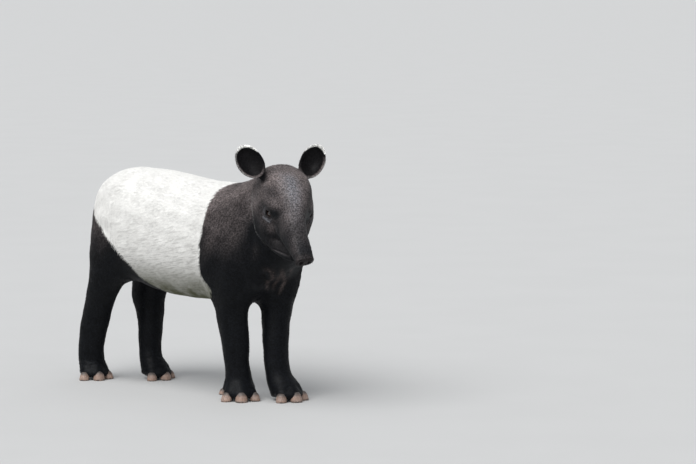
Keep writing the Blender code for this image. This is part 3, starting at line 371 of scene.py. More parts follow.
class Tube:
    """A tube of oval section. Each row is x, y, z, half width, half height up, half height down and
    the power of the section; width is the direction of the sections' width, caps their round ends."""

    def __init__(self, rows, width=(1, 0, 0), caps=(0.5, 0.5), steps=4):
        fine = smooth_rows(rows, (len(rows) - 1) * steps + 1)
        self.centre, self.size, self.power = fine[:, :3], np.maximum(fine[:, 3:6], 0.002), fine[:, 6]
        along = np.gradient(self.centre, axis=0)
        self.along = along / np.linalg.norm(along, axis=1)[:, None]
        width = np.asarray(width, float)
        across = width - (self.along @ width)[:, None] * self.along
        self.across = across / np.linalg.norm(across, axis=1)[:, None]
        self.up = np.cross(self.along, self.across)
        self.caps = caps
        reach = self.size.max(1)[:, None]
        self.low, self.high = (self.centre - reach).min(0), (self.centre + reach).max(0)

    def place_along(self, p):
        """The place on the middle line that is nearest to p, in rows from its start: the nearest row,
        then the nearest point of the two legs that meet there."""
        far = (self.centre ** 2).sum(1) - 2 * p @ self.centre.T
        k = far.argmin(1)
        best, at = np.full(len(p), 1e9), k.astype(float)
        for start in (k - 1, k):
            i = np.clip(start, 0, len(self.centre) - 2)
            leg = self.centre[i + 1] - self.centre[i]
            q = p - self.centre[i]
            s = np.clip((q * leg).sum(1) / (leg * leg).sum(1), 0, 1)
            way = ((q - s[:, None] * leg) ** 2).sum(1)
            closer = way < best
            best[closer], at[closer] = way[closer], (i + s)[closer]
        return at

    def __call__(self, p):
        """How far p is outside the tube: the way to its nearest section's centre, less the part of
        that way that lies inside the oval. x, y and z are the offsets across, up and beyond the ends,
        as shares of the section's half sizes there."""
        at = self.place_along(p)
        i = np.minimum(at.astype(int), len(self.centre) - 2)
        s = (at - i)[:, None]

        def mix(rows):
            return rows[i] * (1 - s) + rows[i + 1] * s

        q, size = p - mix(self.centre), mix(self.size)
        x = (q * mix(self.across)).sum(1) / size[:, 0]
        y = (q * mix(self.up)).sum(1)
        y = y / np.where(y > 0, size[:, 1], size[:, 2])
        cap = np.where(at <= 0, self.caps[0], self.caps[1]) * size.min(1)
        beyond = (at <= 0) | (at >= len(self.centre) - 1)
        z = np.where(beyond, (q * mix(self.along)).sum(1) / cap, 0)
        power = self.power[i] * (1 - s[:, 0]) + self.power[i + 1] * s[:, 0]
        share = (np.abs(x) ** power + np.abs(y) ** power + np.abs(z) ** power) ** (1 / power)
        way = np.sqrt((q * q).sum(1))
        return way - way / np.maximum(share, 1e-6)


class Egg:
    """An ellipsoid: centre, three half sizes and its turn."""

    def __init__(self, centre, size, turn=None):
        self.centre, self.size = np.asarray(centre, float), np.asarray(size, float)
        self.turn = np.eye(3) if turn is None else turn
        self.low, self.high = self.centre - self.size.max(), self.centre + self.size.max()

    def __call__(self, p):
        q = (p - self.centre) @ self.turn
        share = np.sqrt(((q / self.size) ** 2).sum(1))
        way = np.sqrt((q * q).sum(1))
        return way - way / np.maximum(share, 1e-6)


def melt(a, b, k):
    """The union of two fields, filled out where they meet within k of each other."""
    h = np.maximum(k - np.abs(a - b), 0) / k
    return np.minimum(a, b) - h * h * k / 4


def carve(a, b, k):
    """Field a without field b, the edge rounded over k."""
    return -melt(-a, b, k)


def near(shape, p, margin=0.11):
    """A shape's field at the points near its box, and a large value elsewhere."""
    inside = ((p > shape.low - margin) & (p < shape.high + margin)).all(1)
    field = np.full(len(p), 0.5)
    if inside.any():
        field[inside] = shape(p[inside])
    return field


def trunk_tube():
    rows = []
    for forward, top, bottom, half in TRUNK:
        middle = bottom + TRUNK_MIDDLE * (top - bottom)
        rows.append((*place(forward, 0, middle), half, top - middle, middle - bottom, TRUNK_SQUARE))
    return Tube(rows, caps=(RUMP_ROUND, 0.5))


def neck_tube():
    rows = [(*place(f, s, z), half, up, down, 2) for f, s, z, half, up, down in NECK]
    return Tube(rows, caps=(0.8, 0.8))


def tail_tube():
    return Tube([(*place(f, 0, z), r, r, r, 2) for f, z, r in TAIL], caps=(1, 1))


def leg_tube(name):
    rows = [(*place(f, s, z), half, front, back, 2) for z, f, s, half, front, back in LEGS[name]]
    return Tube(rows, caps=(0.9, 0.3))


def head_tube(table, caps):
    rows = [(*head_point(side, f, up), half, above, below, power)
            for f, side, up, half, above, below, power in table]
    return Tube(rows, width=head_way(1, 0, 0), caps=caps)


def heading(degrees):
    """The level direction that many degrees to the right of straight ahead."""
    a = radians(degrees)
    return np.array([-sin(a), -cos(a), 0.0])


def foot_toes(leg):
    """For each toe of a foot: name, root on the ground, direction, reach, half width and rise."""
    forward, side, turn = FEET[leg]
    outwards = 1 if leg.endswith("_r") else -1
    root = place(forward, side, 0)
    table = FORE_TOES if leg.startswith("fore") else HIND_TOES
    return [(name, root, heading(turn + outwards * angle), reach, half, rise)
            for name, angle, reach, half, rise in table]


def toe_tube(root, way, reach, half, rise):
    """The flesh of a toe, from the middle of the foot down to the back of its hoof."""
    up = np.array([0, 0, 1])
    rows = [
        (*(root + up * 0.062), half * 1.10, half * 1.1, half * 1.1, 2),
        (*(root + way * reach * 0.60 + up * (0.040 + rise)), half * 1.12, half, half, 2),
        (*(root + way * reach * 0.87 + up * (0.019 + rise)), half * 0.98, half * 0.74, half * 0.9, 2),
    ]
    return Tube(rows, width=np.cross(up, way), caps=(0.8, 0.8))


def foot_pad(leg):
    """The cushion under a foot, between its toes."""
    forward, side, turn = FEET[leg]
    (ahead, up), size = PAD
    way = heading(turn)
    turned = np.stack([np.cross([0, 0, 1], way), way, [0, 0, 1]], 1)
    return Egg(place(forward, side, up) + way * ahead, size, turned)


def eye_frame(side):
    """Centre of an eyeball and its axes: along the opening, across it, and outwards."""
    x, forward, up = EYE_AT
    centre = head_point(FACE_SIDE + side * x, forward, up)
    out = head_way(side * EYE_FACES[0], EYE_FACES[1], EYE_FACES[2])
    front = head_way(0, cos(LID_SLANT), -sin(LID_SLANT))
    along = front - (front @ out) * out
    along /= np.linalg.norm(along)
    return centre, along, np.cross(out, along), out


def body_shapes():
    shapes = {"trunk": trunk_tube(), "neck": neck_tube(), "tail": tail_tube()}
    shapes["skull"] = head_tube(SKULL, (0.8, 0.35))
    shapes["jaw"] = head_tube(JAW, (0.8, 0.9))
    for side in (1, -1):
        for name, ((x, forward, up), size) in (("cheek", CHEEK), ("brow", BROW)):
            middle = FACE_SIDE if name == "brow" else 0
            shapes[name, side] = Egg(head_point(middle + side * x, forward, up), size, HEAD_TURN)
        centre, along, across, out = eye_frame(side)
        radius = EYE_RADIUS + LID
        shapes["lids", side] = Egg(centre, (radius * 1.15, radius * 0.95, radius),
                                   np.stack([along, across, out], 1))
        (x, forward, up), size = NOSTRIL
        shapes["nostril", side] = Egg(head_point(SNOUT_SIDE + side * x, forward, up), size,
                                      HEAD_TURN @ turn_x(radians(38)) @ turn_z(side * radians(14)))
    for leg in LEGS:
        shapes[leg] = leg_tube(leg)
        for i, (_, root, way, reach, half, rise) in enumerate(foot_toes(leg)):
            shapes[leg, i] = toe_tube(root, way, reach, half, rise)
        shapes[leg, "pad"] = foot_pad(leg)
    return shapes


SHAPES = body_shapes()


def head_field(p):
    """Skull, jaw, cheeks, brows and lids, with the lips, the mouth's line and the nostrils."""
    field = melt(near(SHAPES["skull"], p), near(SHAPES["jaw"], p), MELT["jaw"])
    for side in (1, -1):
        for part in ("cheek", "brow", "lids"):
            field = melt(field, near(SHAPES[part, side], p), MELT[part])
    return head_details(field, p)


def head_details(field, p):
    """Cuts the finer forms into the head's field, at the points near its surface."""
    close = np.abs(field) < 0.03
    if not close.any():
        return field
    q, f = p[close], field[close]
    _, forward, up = in_head(q)
    from_line = up - mouth_level(forward)
    along = np.clip((forward - MOUTH_CORNER) / 0.02 + 0.5, 0, 1)
    along = along * np.clip((MOUTH_FRONT - forward) / 0.015, 0, 1)
    f = f - LIP * along * np.exp(-(from_line / 0.011) ** 2)
    f = f + MOUTH_DEPTH * along * np.exp(-(from_line / MOUTH_WIDTH) ** 2)
    for side in (1, -1):
        f = carve(f, near(SHAPES["nostril", side], q), 0.004)
        f = carve(f, lid_opening(q, side), 0.002)
    field = field.copy()
    field[close] = f
    return field


def lid_opening(p, side):
    """The almond between the lids, in front of the eyeball's middle."""
    centre, along, across, out = eye_frame(side)
    q = p - centre
    u, v, w = q @ along, q @ across, q @ out
    half, high = LID_OPENING
    edge = high * (1 - (u / half) ** 2)
    return np.maximum((np.abs(v) - edge) * 0.8, EYE_RADIUS * 0.45 - w)


def ear_axes(name):
    """Middle of an ear's rim and its axes: along the ear, across it, and the way the cup faces."""
    middle, yaw, pitch, lean = EARS[name]
    faces = heading(yaw) * cos(radians(pitch)) + np.array([0, 0, sin(radians(pitch))])
    level = np.cross([0, 0, 1], faces)
    level /= np.linalg.norm(level)
    rise = np.cross(faces, level)
    a = radians(lean)
    along = rise * cos(a) + level * sin(a)
    return place(*middle), along, np.cross(faces, along), faces


def ear_shapes(name):
    """The bowl that an ear's cup is the wall of, the rim's plane, and the stem to the head."""
    middle, along, across, faces = ear_axes(name)
    rim = np.sqrt(1 - EAR_RIM ** 2)
    size = (EAR_HALF[0] / rim, EAR_HALF[1] / rim, EAR_DEPTH / (1 - EAR_RIM))
    turn = np.stack([along, across, faces], 1)
    bowl = Egg(middle + faces * EAR_RIM * size[2], size, turn)
    foot = middle - along * EAR_HALF[0] * 0.62 - faces * EAR_DEPTH * 0.52
    inwards = 1 if name == "ear_r" else -1
    root = head_point(-inwards * 0.050, 0.012, 0.030)
    r = EAR_STEM
    stem = Tube([(*root, r, r, r, 2), (*(root * 0.5 + foot * 0.5), r, r, r, 2),
                 (*foot, r * 0.8, r * 0.8, r * 0.8, 2)], width=across, caps=(0.5, 0.6))
    return bowl, middle, faces, stem


EAR_SHAPES = {name: ear_shapes(name) for name in EARS}


def trunk_field(p):
    """Everything but the legs, the ears and the tail."""
    field = melt(near(SHAPES["trunk"], p, 0.2), near(SHAPES["neck"], p, 0.2), MELT["trunk to neck"])
    return melt(field, head_field(p), MELT["to head"])


def leg_field(leg, p):
    """A leg with its toes, without the trunk."""
    field = near(SHAPES[leg], p)
    for part in (*range(len(foot_toes(leg))), "pad"):
        field = melt(field, near(SHAPES[leg, part], p), MELT["toes"])
    return field


def body_field(p):
    """The whole animal's flesh but the ears and the tail."""
    field = trunk_field(p)
    whole = None
    for leg in LEGS:
        joined = melt(field, leg_field(leg, p), MELT["to leg"])
        whole = joined if whole is None else np.minimum(whole, joined)
    return carve(whole, p[:, 2] - FLESH_CLEAR, 0.006)


def ear_wall_field(name, p, wall):
    """The wall of the bowl behind the rim, melted into the stem and opened in front."""
    bowl, middle, faces, stem = EAR_SHAPES[name]
    inner = near(bowl, p)
    cup = melt(np.abs(inner) - wall / 2, near(stem, p), MELT["ear stem"])
    cup = carve(cup, inner + wall / 2, 0.003)
    return carve(cup, -((p - middle) @ faces), 0.002)


def skin_field(depth, wall):
    """The field whose zero level is the skin: the whole animal, ears and tail with it, drawn in by
    the depth of the coat. The ears keep their wall."""
    def field(p):
        whole = melt(body_field(p), near(SHAPES["tail"], p), MELT["tail"])
        for name in EARS:
            whole = melt(whole, ear_wall_field(name, p, wall + 2 * depth), MELT["ear"])
        return whole + depth
    return field


# Grids, nets and their refinement

CELL = 0.0088                # side of the grid's cells
NET_MARGIN = 0.015           # how far the grid reaches past the solids
COARSE = 3                   # every third grid line is sampled first
BAND = 0.034                 # how near to the level the rest is sampled


def sampled(field, xs, ys, zs):
    """A field on a grid: its true value near the level, and the nearest coarse sample elsewhere."""
    shape = (len(xs), len(ys), len(zs))
    picks = [np.minimum((np.arange(n) + COARSE // 2) // COARSE, (n - 1) // COARSE) for n in shape]
    coarse = [line[::COARSE] for line in (xs, ys, zs)]
    rough = np.stack(np.meshgrid(*coarse, indexing="ij"), -1).reshape(-1, 3)
    rough = field(rough).reshape([len(line) for line in coarse])
    value = rough[np.ix_(*picks)].ravel()
    close = np.abs(value) < BAND
    grid = np.stack(np.meshgrid(xs, ys, zs, indexing="ij"), -1).reshape(-1, 3)
    value[close] = field(grid[close])
    return grid.reshape(*shape, 3), value.reshape(shape)


def surface_net(grid, value):
    """Triangles round the zero level: one point in each cell that the level passes through, at the
    mean of its crossings, and one split quad for each grid edge that it crosses."""
    inside = value < 0
    cells = tuple(n - 1 for n in value.shape)
    total, hits = np.zeros(cells + (3,)), np.zeros(cells)
    crossings = []
    for axis in range(3):
        low, high = [slice(None)] * 3, [slice(None)] * 3
        low[axis], high[axis] = slice(0, -1), slice(1, None)
        low, high = tuple(low), tuple(high)
        crossed = inside[low] != inside[high]
        share = np.where(crossed, value[low] / np.where(crossed, value[low] - value[high], 1), 0)
        point = grid[low] * (1 - share[..., None]) + grid[high] * share[..., None]
        others = [k for k in range(3) if k != axis]
        for a, b in np.ndindex(2, 2):
            part = [slice(None)] * 3
            part[others[0]] = slice(a, a + cells[others[0]])
            part[others[1]] = slice(b, b + cells[others[1]])
            part = tuple(part)
            total += point[part] * crossed[part][..., None]
            hits += crossed[part]
        crossings.append((axis, others, crossed, inside[low]))
    used = hits > 0
    number = np.full(cells, -1)
    number[used] = np.arange(used.sum())
    points = total[used] / hits[used][:, None]
    quads = []
    for axis, others, crossed, starts_inside in crossings:
        inner = [slice(None)] * 3
        inner[others[0]], inner[others[1]] = slice(1, -1), slice(1, -1)
        inner = tuple(inner)
        chosen = crossed[inner]
        corners = []
        for a, b in ((0, 0), (1, 0), (1, 1), (0, 1)):
            part = [slice(None)] * 3
            part[others[0]] = slice(a, a + cells[others[0]] - 1)
            part[others[1]] = slice(b, b + cells[others[1]] - 1)
            corners.append(number[tuple(part)][chosen])
        quad = np.stack(corners, 1)
        outwards = starts_inside[inner][chosen]
        if axis == 1:
            outwards = ~outwards
        quad[~outwards] = quad[~outwards][:, ::-1]
        quads.append(quad)
    quads = np.concatenate(quads)
    return points, np.concatenate([quads[:, [0, 1, 2]], quads[:, [0, 2, 3]]])


def refine(points, faces, chosen):
    """Splits the chosen triangles in four and their neighbours in two or three, edge for edge."""
    edges = np.sort(np.stack([faces, np.roll(faces, -1, axis=1)], -1), -1).reshape(-1, 2)
    unique, inverse = np.unique(edges, axis=0, return_inverse=True)
    inverse = inverse.reshape(-1, 3)
    split = np.zeros(len(unique), bool)
    split[inverse[chosen].ravel()] = True
    middle = np.full(len(unique), -1)
    middle[split] = len(points) + np.arange(split.sum())
    points = np.concatenate([points, points[unique[split]].mean(1)])
    cuts, mids = split[inverse], middle[inverse]
    count = cuts.sum(1)
    turn = np.zeros(len(faces), int)
    turn[count == 1] = cuts[count == 1].argmax(1)
    turn[count == 2] = ((~cuts[count == 2]).argmax(1) + 1) % 3
    order = (np.arange(3)[None] + turn[:, None]) % 3
    f, m = np.take_along_axis(faces, order, 1), np.take_along_axis(mids, order, 1)
    one, two, three = count == 1, count == 2, count == 3
    parts = [f[count == 0]]
    parts += [np.stack(c, 1) for c in (
        (f[one, 0], m[one, 0], f[one, 2]), (m[one, 0], f[one, 1], f[one, 2]),
        (f[two, 1], m[two, 1], m[two, 0]), (f[two, 0], m[two, 0], m[two, 1]),
        (f[two, 0], m[two, 1], f[two, 2]),
        (f[three, 0], m[three, 0], m[three, 2]), (f[three, 1], m[three, 1], m[three, 0]),
        (f[three, 2], m[three, 2], m[three, 1]), (m[three, 0], m[three, 1], m[three, 2]))]
    return points, np.concatenate(parts)


def settle(field, points, rounds=1, reach=0.0006):
    """Moves points along the field's slope to its zero level; gives them and their normals."""
    corners = np.array([[1, -1, -1], [-1, -1, 1], [-1, 1, -1], [1, 1, 1]], float)
    for _ in range(rounds):
        values = [field(points + corner * reach) for corner in corners]
        slope = sum(v[:, None] * c for v, c in zip(values, corners)) / (4 * reach)
        steep = (slope ** 2).sum(1)
        step = (sum(values) / 4 / np.maximum(steep, 0.05))[:, None] * slope
        length = np.linalg.norm(step, axis=1)
        points = points - step * np.minimum(1, 0.005 / np.maximum(length, 1e-9))[:, None]
    return points, slope / np.maximum(np.sqrt(steep), 1e-9)[:, None]


def neighbour_mean(values, faces, count):
    """The mean of each point's neighbours' values."""
    total, hits = np.zeros((count, values.shape[1])), np.zeros(count)
    for a, b in ((0, 1), (1, 2), (2, 0)):
        for i, j in ((a, b), (b, a)):
            for k in range(values.shape[1]):
                total[:, k] += np.bincount(faces[:, i], values[faces[:, j], k], count)
            hits += np.bincount(faces[:, i], minlength=count)
    return total / np.maximum(hits, 1)[:, None]


def relax(points, faces, normals, amount=0.5):
    """Slides each point along the surface towards the mean of its neighbours."""
    step = neighbour_mean(points, faces, len(points)) - points
    step -= (step * normals).sum(1)[:, None] * normals
    return points + amount * step


def fine_places():
    """Where the skin needs finer cells: centre, radius, cell size and the ears' wall while it is cut."""
    places = [(ear_axes(name)[0], 0.085, size, wall) for size, wall in ((0.0062, 0.010), (0.0034, 0.006))
              for name in EARS]
    places += [(head_point(0, 0.10, -0.06), 0.19, 0.0048, EAR_SKIN)]
    for leg in LEGS:
        forward, side, _ = FEET[leg]
        places.append((place(forward, side, 0.03), 0.095, 0.0048, EAR_SKIN))
    for side in (1, -1):
        places.append((eye_frame(side)[0], 0.036, 0.0026, EAR_SKIN))
        places.append((eye_frame(side)[0], 0.019, 0.0014, EAR_SKIN))
        places.append((head_point(side * 0.040, 0.190, -0.140), 0.050, 0.0028, EAR_SKIN))
        places.append((SHAPES["nostril", side].centre, 0.024, 0.0017, EAR_SKIN))
    return places


def skin_surface(depth):
    """The skin's points, triangles and normals. The ears are caught by a coarse net as a thick wall,
    which thins while their triangles are split."""
    step = CELL
    low, high = np.array(CAD_BOX[0]) - NET_MARGIN, np.array(CAD_BOX[1]) + NET_MARGIN
    lines = [np.arange(a, b + step, step) for a, b in zip(low, high)]
    thick = 1.7 * step
    field = skin_field(depth, thick)
    points, faces = surface_net(*sampled(field, *lines))
    points, normals = settle(field, points, 2)
    for _ in range(3):
        points, normals = settle(field, relax(points, faces, normals), 1)
    for centre, radius, size, wall in fine_places():
        field = skin_field(depth, wall)
        for _ in range(3):
            corner = points[faces]
            longest = np.linalg.norm(corner - np.roll(corner, -1, axis=1), axis=2).max(1)
            chosen = (np.linalg.norm(corner.mean(1) - centre, axis=1) < radius) & (longest > 1.7 * size)
            if not chosen.any():
                break
            points, faces = refine(points, faces, chosen)
            reach = np.linalg.norm(points - centre, axis=1) < radius + 0.02
            for _ in range(2):
                moved = relax(points, faces, normals_of(points, faces), 0.4)
                points[reach], _ = settle(field, moved[reach], 1)
    points, normals = settle(skin_field(depth, EAR_SKIN), points, 2)
    return points, faces, normals


def normals_of(points, faces):
    """Each point's normal, from its triangles' areas."""
    corner = points[faces]
    area = np.cross(corner[:, 1] - corner[:, 0], corner[:, 2] - corner[:, 0])
    normal = np.stack([sum(np.bincount(faces[:, i], area[:, k], len(points)) for i in range(3))
                       for k in range(3)], 1)
    return normal / np.maximum(np.linalg.norm(normal, axis=1), 1e-12)[:, None]


# Markings, painted light and shade, folds and the lie of the hair

# Edges of the white saddle: height, and how far forward its fore and hind edges stand there
SADDLE_FRONT = [(0.300, 0.268), (0.357, 0.254), (0.376, 0.240), (0.398, 0.221), (0.428, 0.206),
                (0.490, 0.216), (0.557, 0.228), (0.617, 0.235), (0.662, 0.233), (0.698, 0.223),
                (0.722, 0.221)]
SADDLE_REAR = [(0.300, -0.020), (0.336, -0.052), (0.357, -0.100), (0.393, -0.140), (0.432, -0.169),
               (0.470, -0.200), (0.508, -0.239), (0.557, -0.287), (0.594, -0.325), (0.640, -0.372),
               (0.700, -0.460)]


def step_up(x, low, high):
    """0 below low, 1 above high, and a smooth rise between."""
    s = np.clip((x - low) / (high - low), 0, 1)
    return s * s * (3 - 2 * s)


def saddle_depth(p, legs):
    """How deep each point lies inside the white saddle: the distance to its nearer edge."""
    forward, height = CENTRE_FORWARD - p[:, 1], p[:, 2]
    front = np.interp(height, *np.array(SADDLE_FRONT).T) - forward
    rear = (forward - np.interp(height, *np.array(SADDLE_REAR).T)) * 0.72
    legs_black = np.where(height < 0.40, legs - 0.010, 1)
    return np.minimum(np.minimum(front, rear), legs_black)


def leg_distance(p):
    """The distance to the nearest leg."""
    return np.minimum.reduce([leg_field(leg, p) for leg in LEGS])


NECK_LIE = (-0.05, 0.75, -0.75)
LEG_LIE = (0, 0.10, -1)
TAIL_LIE = (0, 0.2, -1)


def lie_of_hair(p, normals, legs):
    """The way the hair lies: back and down over trunk and neck, back over the head, down the legs and
    the tail, and towards the ears' tips. The ways are mixed by how near each part is, then laid flat
    on the skin."""
    way = np.stack([np.zeros(len(p)), np.ones(len(p)), -0.25 - 0.55 * np.abs(normals[:, 0])], 1)
    neck = step_up(CENTRE_FORWARD - p[:, 1], 0.25, 0.40)[:, None]
    way = way * (1 - neck) + neck * np.array(NECK_LIE)
    head = step_up(in_head(p)[1], -0.06, 0.05)[:, None]
    way = way * (1 - head) + head * head_way(0, -1, 0.10)
    low = step_up(SHAPES["trunk"](p) - legs, -0.045, 0.015)[:, None] * (1 - head)
    way = way * (1 - low) + low * np.array(LEG_LIE)
    tail = (near(SHAPES["tail"], p) < 0.004)[:, None]
    way = np.where(tail, np.array(TAIL_LIE), way)
    for name in EARS:
        _, along, _, _ = ear_axes(name)
        share = step_up(-ear_wall_field(name, p, EAR_SKIN), -0.012, -0.001)[:, None]
        way = way * (1 - share) + share * along
    way -= (way * normals).sum(1)[:, None] * normals
    return way / np.maximum(np.linalg.norm(way, axis=1), 1e-6)[:, None], low[:, 0]


def slow_waves(p, waves, seed):
    """A sum of sine waves of the given lengths in random directions, between about -1 and 1."""
    random = np.random.default_rng(seed)
    total = np.zeros(len(p))
    for length in waves:
        way = random.normal(size=3)
        total += np.sin(p @ (way / np.linalg.norm(way)) * 2 * pi / length + random.uniform(0, 2 * pi))
    return total / np.sqrt(len(waves))


def line_share(p, line, width):
    """How near p is to a bent line: 1 on it, bell shaped across it, and fading towards both ends."""
    line = np.array(line)
    near_it = ((p > line.min(0) - 4 * width) & (p < line.max(0) + 4 * width)).all(1)
    q, total = p[near_it], np.zeros(len(p))
    if not len(q):
        return total
    best, at = np.full(len(q), 1e9), np.zeros(len(q))
    for i in range(len(line) - 1):
        leg = line[i + 1] - line[i]
        s = np.clip((q - line[i]) @ leg / (leg @ leg), 0, 1)
        far = np.linalg.norm(q - line[i] - s[:, None] * leg, axis=1)
        closer = far < best
        best[closer], at[closer] = far[closer], (i + s[closer]) / (len(line) - 1)
    total[near_it] = np.exp(-(best / width) ** 2) * np.minimum(1, 5 * np.minimum(at, 1 - at) + 0.1)
    return total


def all_creases():
    """Each crease as its line in the model's frame, its half width and its depth; those of the face
    are on both sides."""
    for width, depth, points in FACE_CREASES:
        for side in (1, -1):
            yield on_side(side, points), width, depth
    for width, depth, points in BODY_CREASES:
        yield body_line(points), width, depth


def fold_depth(p, low):
    """How far the skin's folds and muscles move it along its normal: rings round the snout, furrows
    under the eyes and at the mouth's corner, creases where the legs bend, and slow waves."""
    side, forward, up = in_head(p)
    total = 0.0010 * slow_waves(p, (0.16, 0.12, 0.10, 0.075, 0.06), 3)
    wobble = 0.004 * slow_waves(p, (0.05, 0.035, 0.028), 5)
    snout = step_up(forward, 0.165, 0.215) * step_up(0.310, forward, forward + 0.02)
    rings = 0.5 + 0.5 * np.cos((forward + 0.35 * np.abs(side) + wobble * 0.6) * 2 * pi / SNOUT_RING)
    middle = -0.093 - 0.40 * (forward - 0.2)
    total -= SNOUT_RING_DEPTH * snout * rings ** 3 * step_up(up - middle, -0.040, -0.012)
    ahead, above = forward - EYE_AT[1], up - EYE_AT[2]
    across = ahead * cos(LID_SLANT) - above * sin(LID_SLANT)
    below = above * cos(LID_SLANT) + ahead * sin(LID_SLANT)
    for sign in (1, -1):
        here = (side * sign > 0.02) * np.exp(-(across / 0.026) ** 2)
        for drop, depth in EYE_FURROWS:
            line = below - drop + across ** 2 * 6
            total -= depth * here * np.exp(-((line + wobble * 0.3) / 0.0022) ** 2)
    for sign in (1, -1):
        total += 0.0016 * line_share(p, on_side(sign, LID_RIDGE), 0.0040)
        from_dimple = np.linalg.norm(p - on_side(sign, [DIMPLE_AT])[0], axis=1)
        total -= DIMPLE_DEPTH * np.exp(-(from_dimple / DIMPLE_WIDTH) ** 2)
    for width, height, points in FACE_RIDGES:
        for sign in (1, -1):
            total += height * line_share(p, on_side(sign, points), width)
    total -= CHEEK_FOLD * line_share(p, body_line(CHEEK_EDGE), 0.0095)
    for line, width, depth in all_creases():
        total -= depth * line_share(p, line, width)
    for name, rows in LEG_CREASES.items():
        leg = near(SHAPES[name], p)
        for height, depth, width in rows:
            line = p[:, 2] - height + wobble * 0.7 + 0.10 * (p[:, 1] - SHAPES[name].centre[:, 1].mean())
            total -= depth * (leg < 0.02) * low * np.exp(-(line / width) ** 2)
    return total


def ear_shades(p, normals):
    """The ears' pale rims, their inner sides and the shadow at their feet."""
    pale, inner_ear, dark = np.zeros((3, len(p)))
    for name in EARS:
        bowl, middle, faces, stem = EAR_SHAPES[name]
        _, along, across, _ = ear_axes(name)
        q, from_bowl = p - middle, near(bowl, p)
        a, b, c = q @ along / EAR_HALF[0], q @ across / EAR_HALF[1], q @ faces
        round_rim, turn = np.sqrt(a * a + b * b), np.arctan2(b, a)
        arc = step_up(FRINGE_REACH - np.abs(turn - FRINGE_MIDDLE[name]), 0, 0.55)
        strip = step_up(c, -0.014, -0.007) * arc
        line = step_up(c, -0.004, -0.001) * 0.16 * step_up(np.cos(turn - EAR_LOW_EDGE[name]), 0.1, 0.6)
        rim = step_up(round_rim, 0.89, 0.935) * np.maximum(strip, line)
        pale = np.maximum(pale, rim * ((from_bowl < 0.012) & (c < 0.012)))
        inner = (from_bowl < -0.0005) * step_up(0.90 - round_rim * (1 - 0.05 * arc), 0, 0.05)
        facing = (normals @ faces > 0.0) * step_up(0.90 - round_rim, 0, 0.06) * (np.abs(c) < 0.045)
        inner_ear = np.maximum(inner_ear, np.maximum(inner, facing))
        dark = np.maximum(dark, 0.34 * step_up(0.016 - near(stem, p), 0, 0.014))
    return pale, inner_ear, dark


def face_shades(p, normals):
    """Bare skin at the snout's tip, painted shade in the nostrils, round the lids and along the mouth,
    painted bluish-grey sheen on the bridge, round the eyes and on the ridges, and painted shadow under the
    snout and on the right upper lip."""
    side, forward, up = in_head(p)
    bare = step_up(forward, 0.296, 0.306) * (0.10 + 0.85 * np.exp(-((up + 0.1470) / 0.0055) ** 2))
    # Painted sheen: bluish grey where the bridge of the snout faces up
    bridge = np.exp(-((side + 0.014) / 0.026) ** 2) * step_up(normals[:, 2], -0.1, 0.5)
    bridge = bridge * step_up(up, -0.30, -0.24)
    ash = bridge * step_up(forward, 0.02, 0.10) * (0.80 - 0.74 * step_up(forward, 0.12, 0.25))
    from_mouth = up - mouth_level(forward)
    mouth = np.exp(-(from_mouth / 0.003) ** 2) * step_up(forward, MOUTH_CORNER - 0.01, MOUTH_CORNER)
    dark = 0.8 * mouth * step_up(MOUTH_FRONT + 0.01 - forward, 0, 0.02)
    for sign in (1, -1):
        # Painted shade in the nostrils and the eyes' hollows
        dark = np.maximum(dark, step_up(0.004 - SHAPES["nostril", sign](p), 0, 0.006))
        centre, along, across, out = eye_frame(sign)
        q = p - centre
        near_eye = np.sqrt((q @ along / 1.35) ** 2 + (q @ across) ** 2 + (q @ out) ** 2 * 0.2)
        dark = np.maximum(dark, 0.9 * step_up(0.0140 - near_eye, 0, 0.004))
        ring = np.exp(-((near_eye - 0.0175) / 0.0024) ** 2) * (np.abs(q @ out) < 0.02)
        ash = np.maximum(ash, ring * (0.16 - 0.14 * np.tanh(q @ across / 0.005)))
        ash = np.maximum(ash, 0.75 * line_share(p, on_side(sign, LID_RIDGE), 0.0034))
        for width, _, points in FACE_RIDGES:
            ash = np.maximum(ash, 0.6 * line_share(p, on_side(sign, points), width * 0.8))
    under = np.exp(-((from_mouth - 0.012) / 0.020) ** 2) * step_up(forward, 0.115, 0.14)
    under = under * step_up(0.27, forward, forward + 0.03)
    lip = np.linalg.norm(p - head_point(*LIP_SHADE), axis=1)
    dark = np.maximum(dark, np.maximum(0.50 * under, 0.62 * np.exp(-(lip / 0.026) ** 2)))
    return bare, dark, ash * (1 - 0.85 * under), under


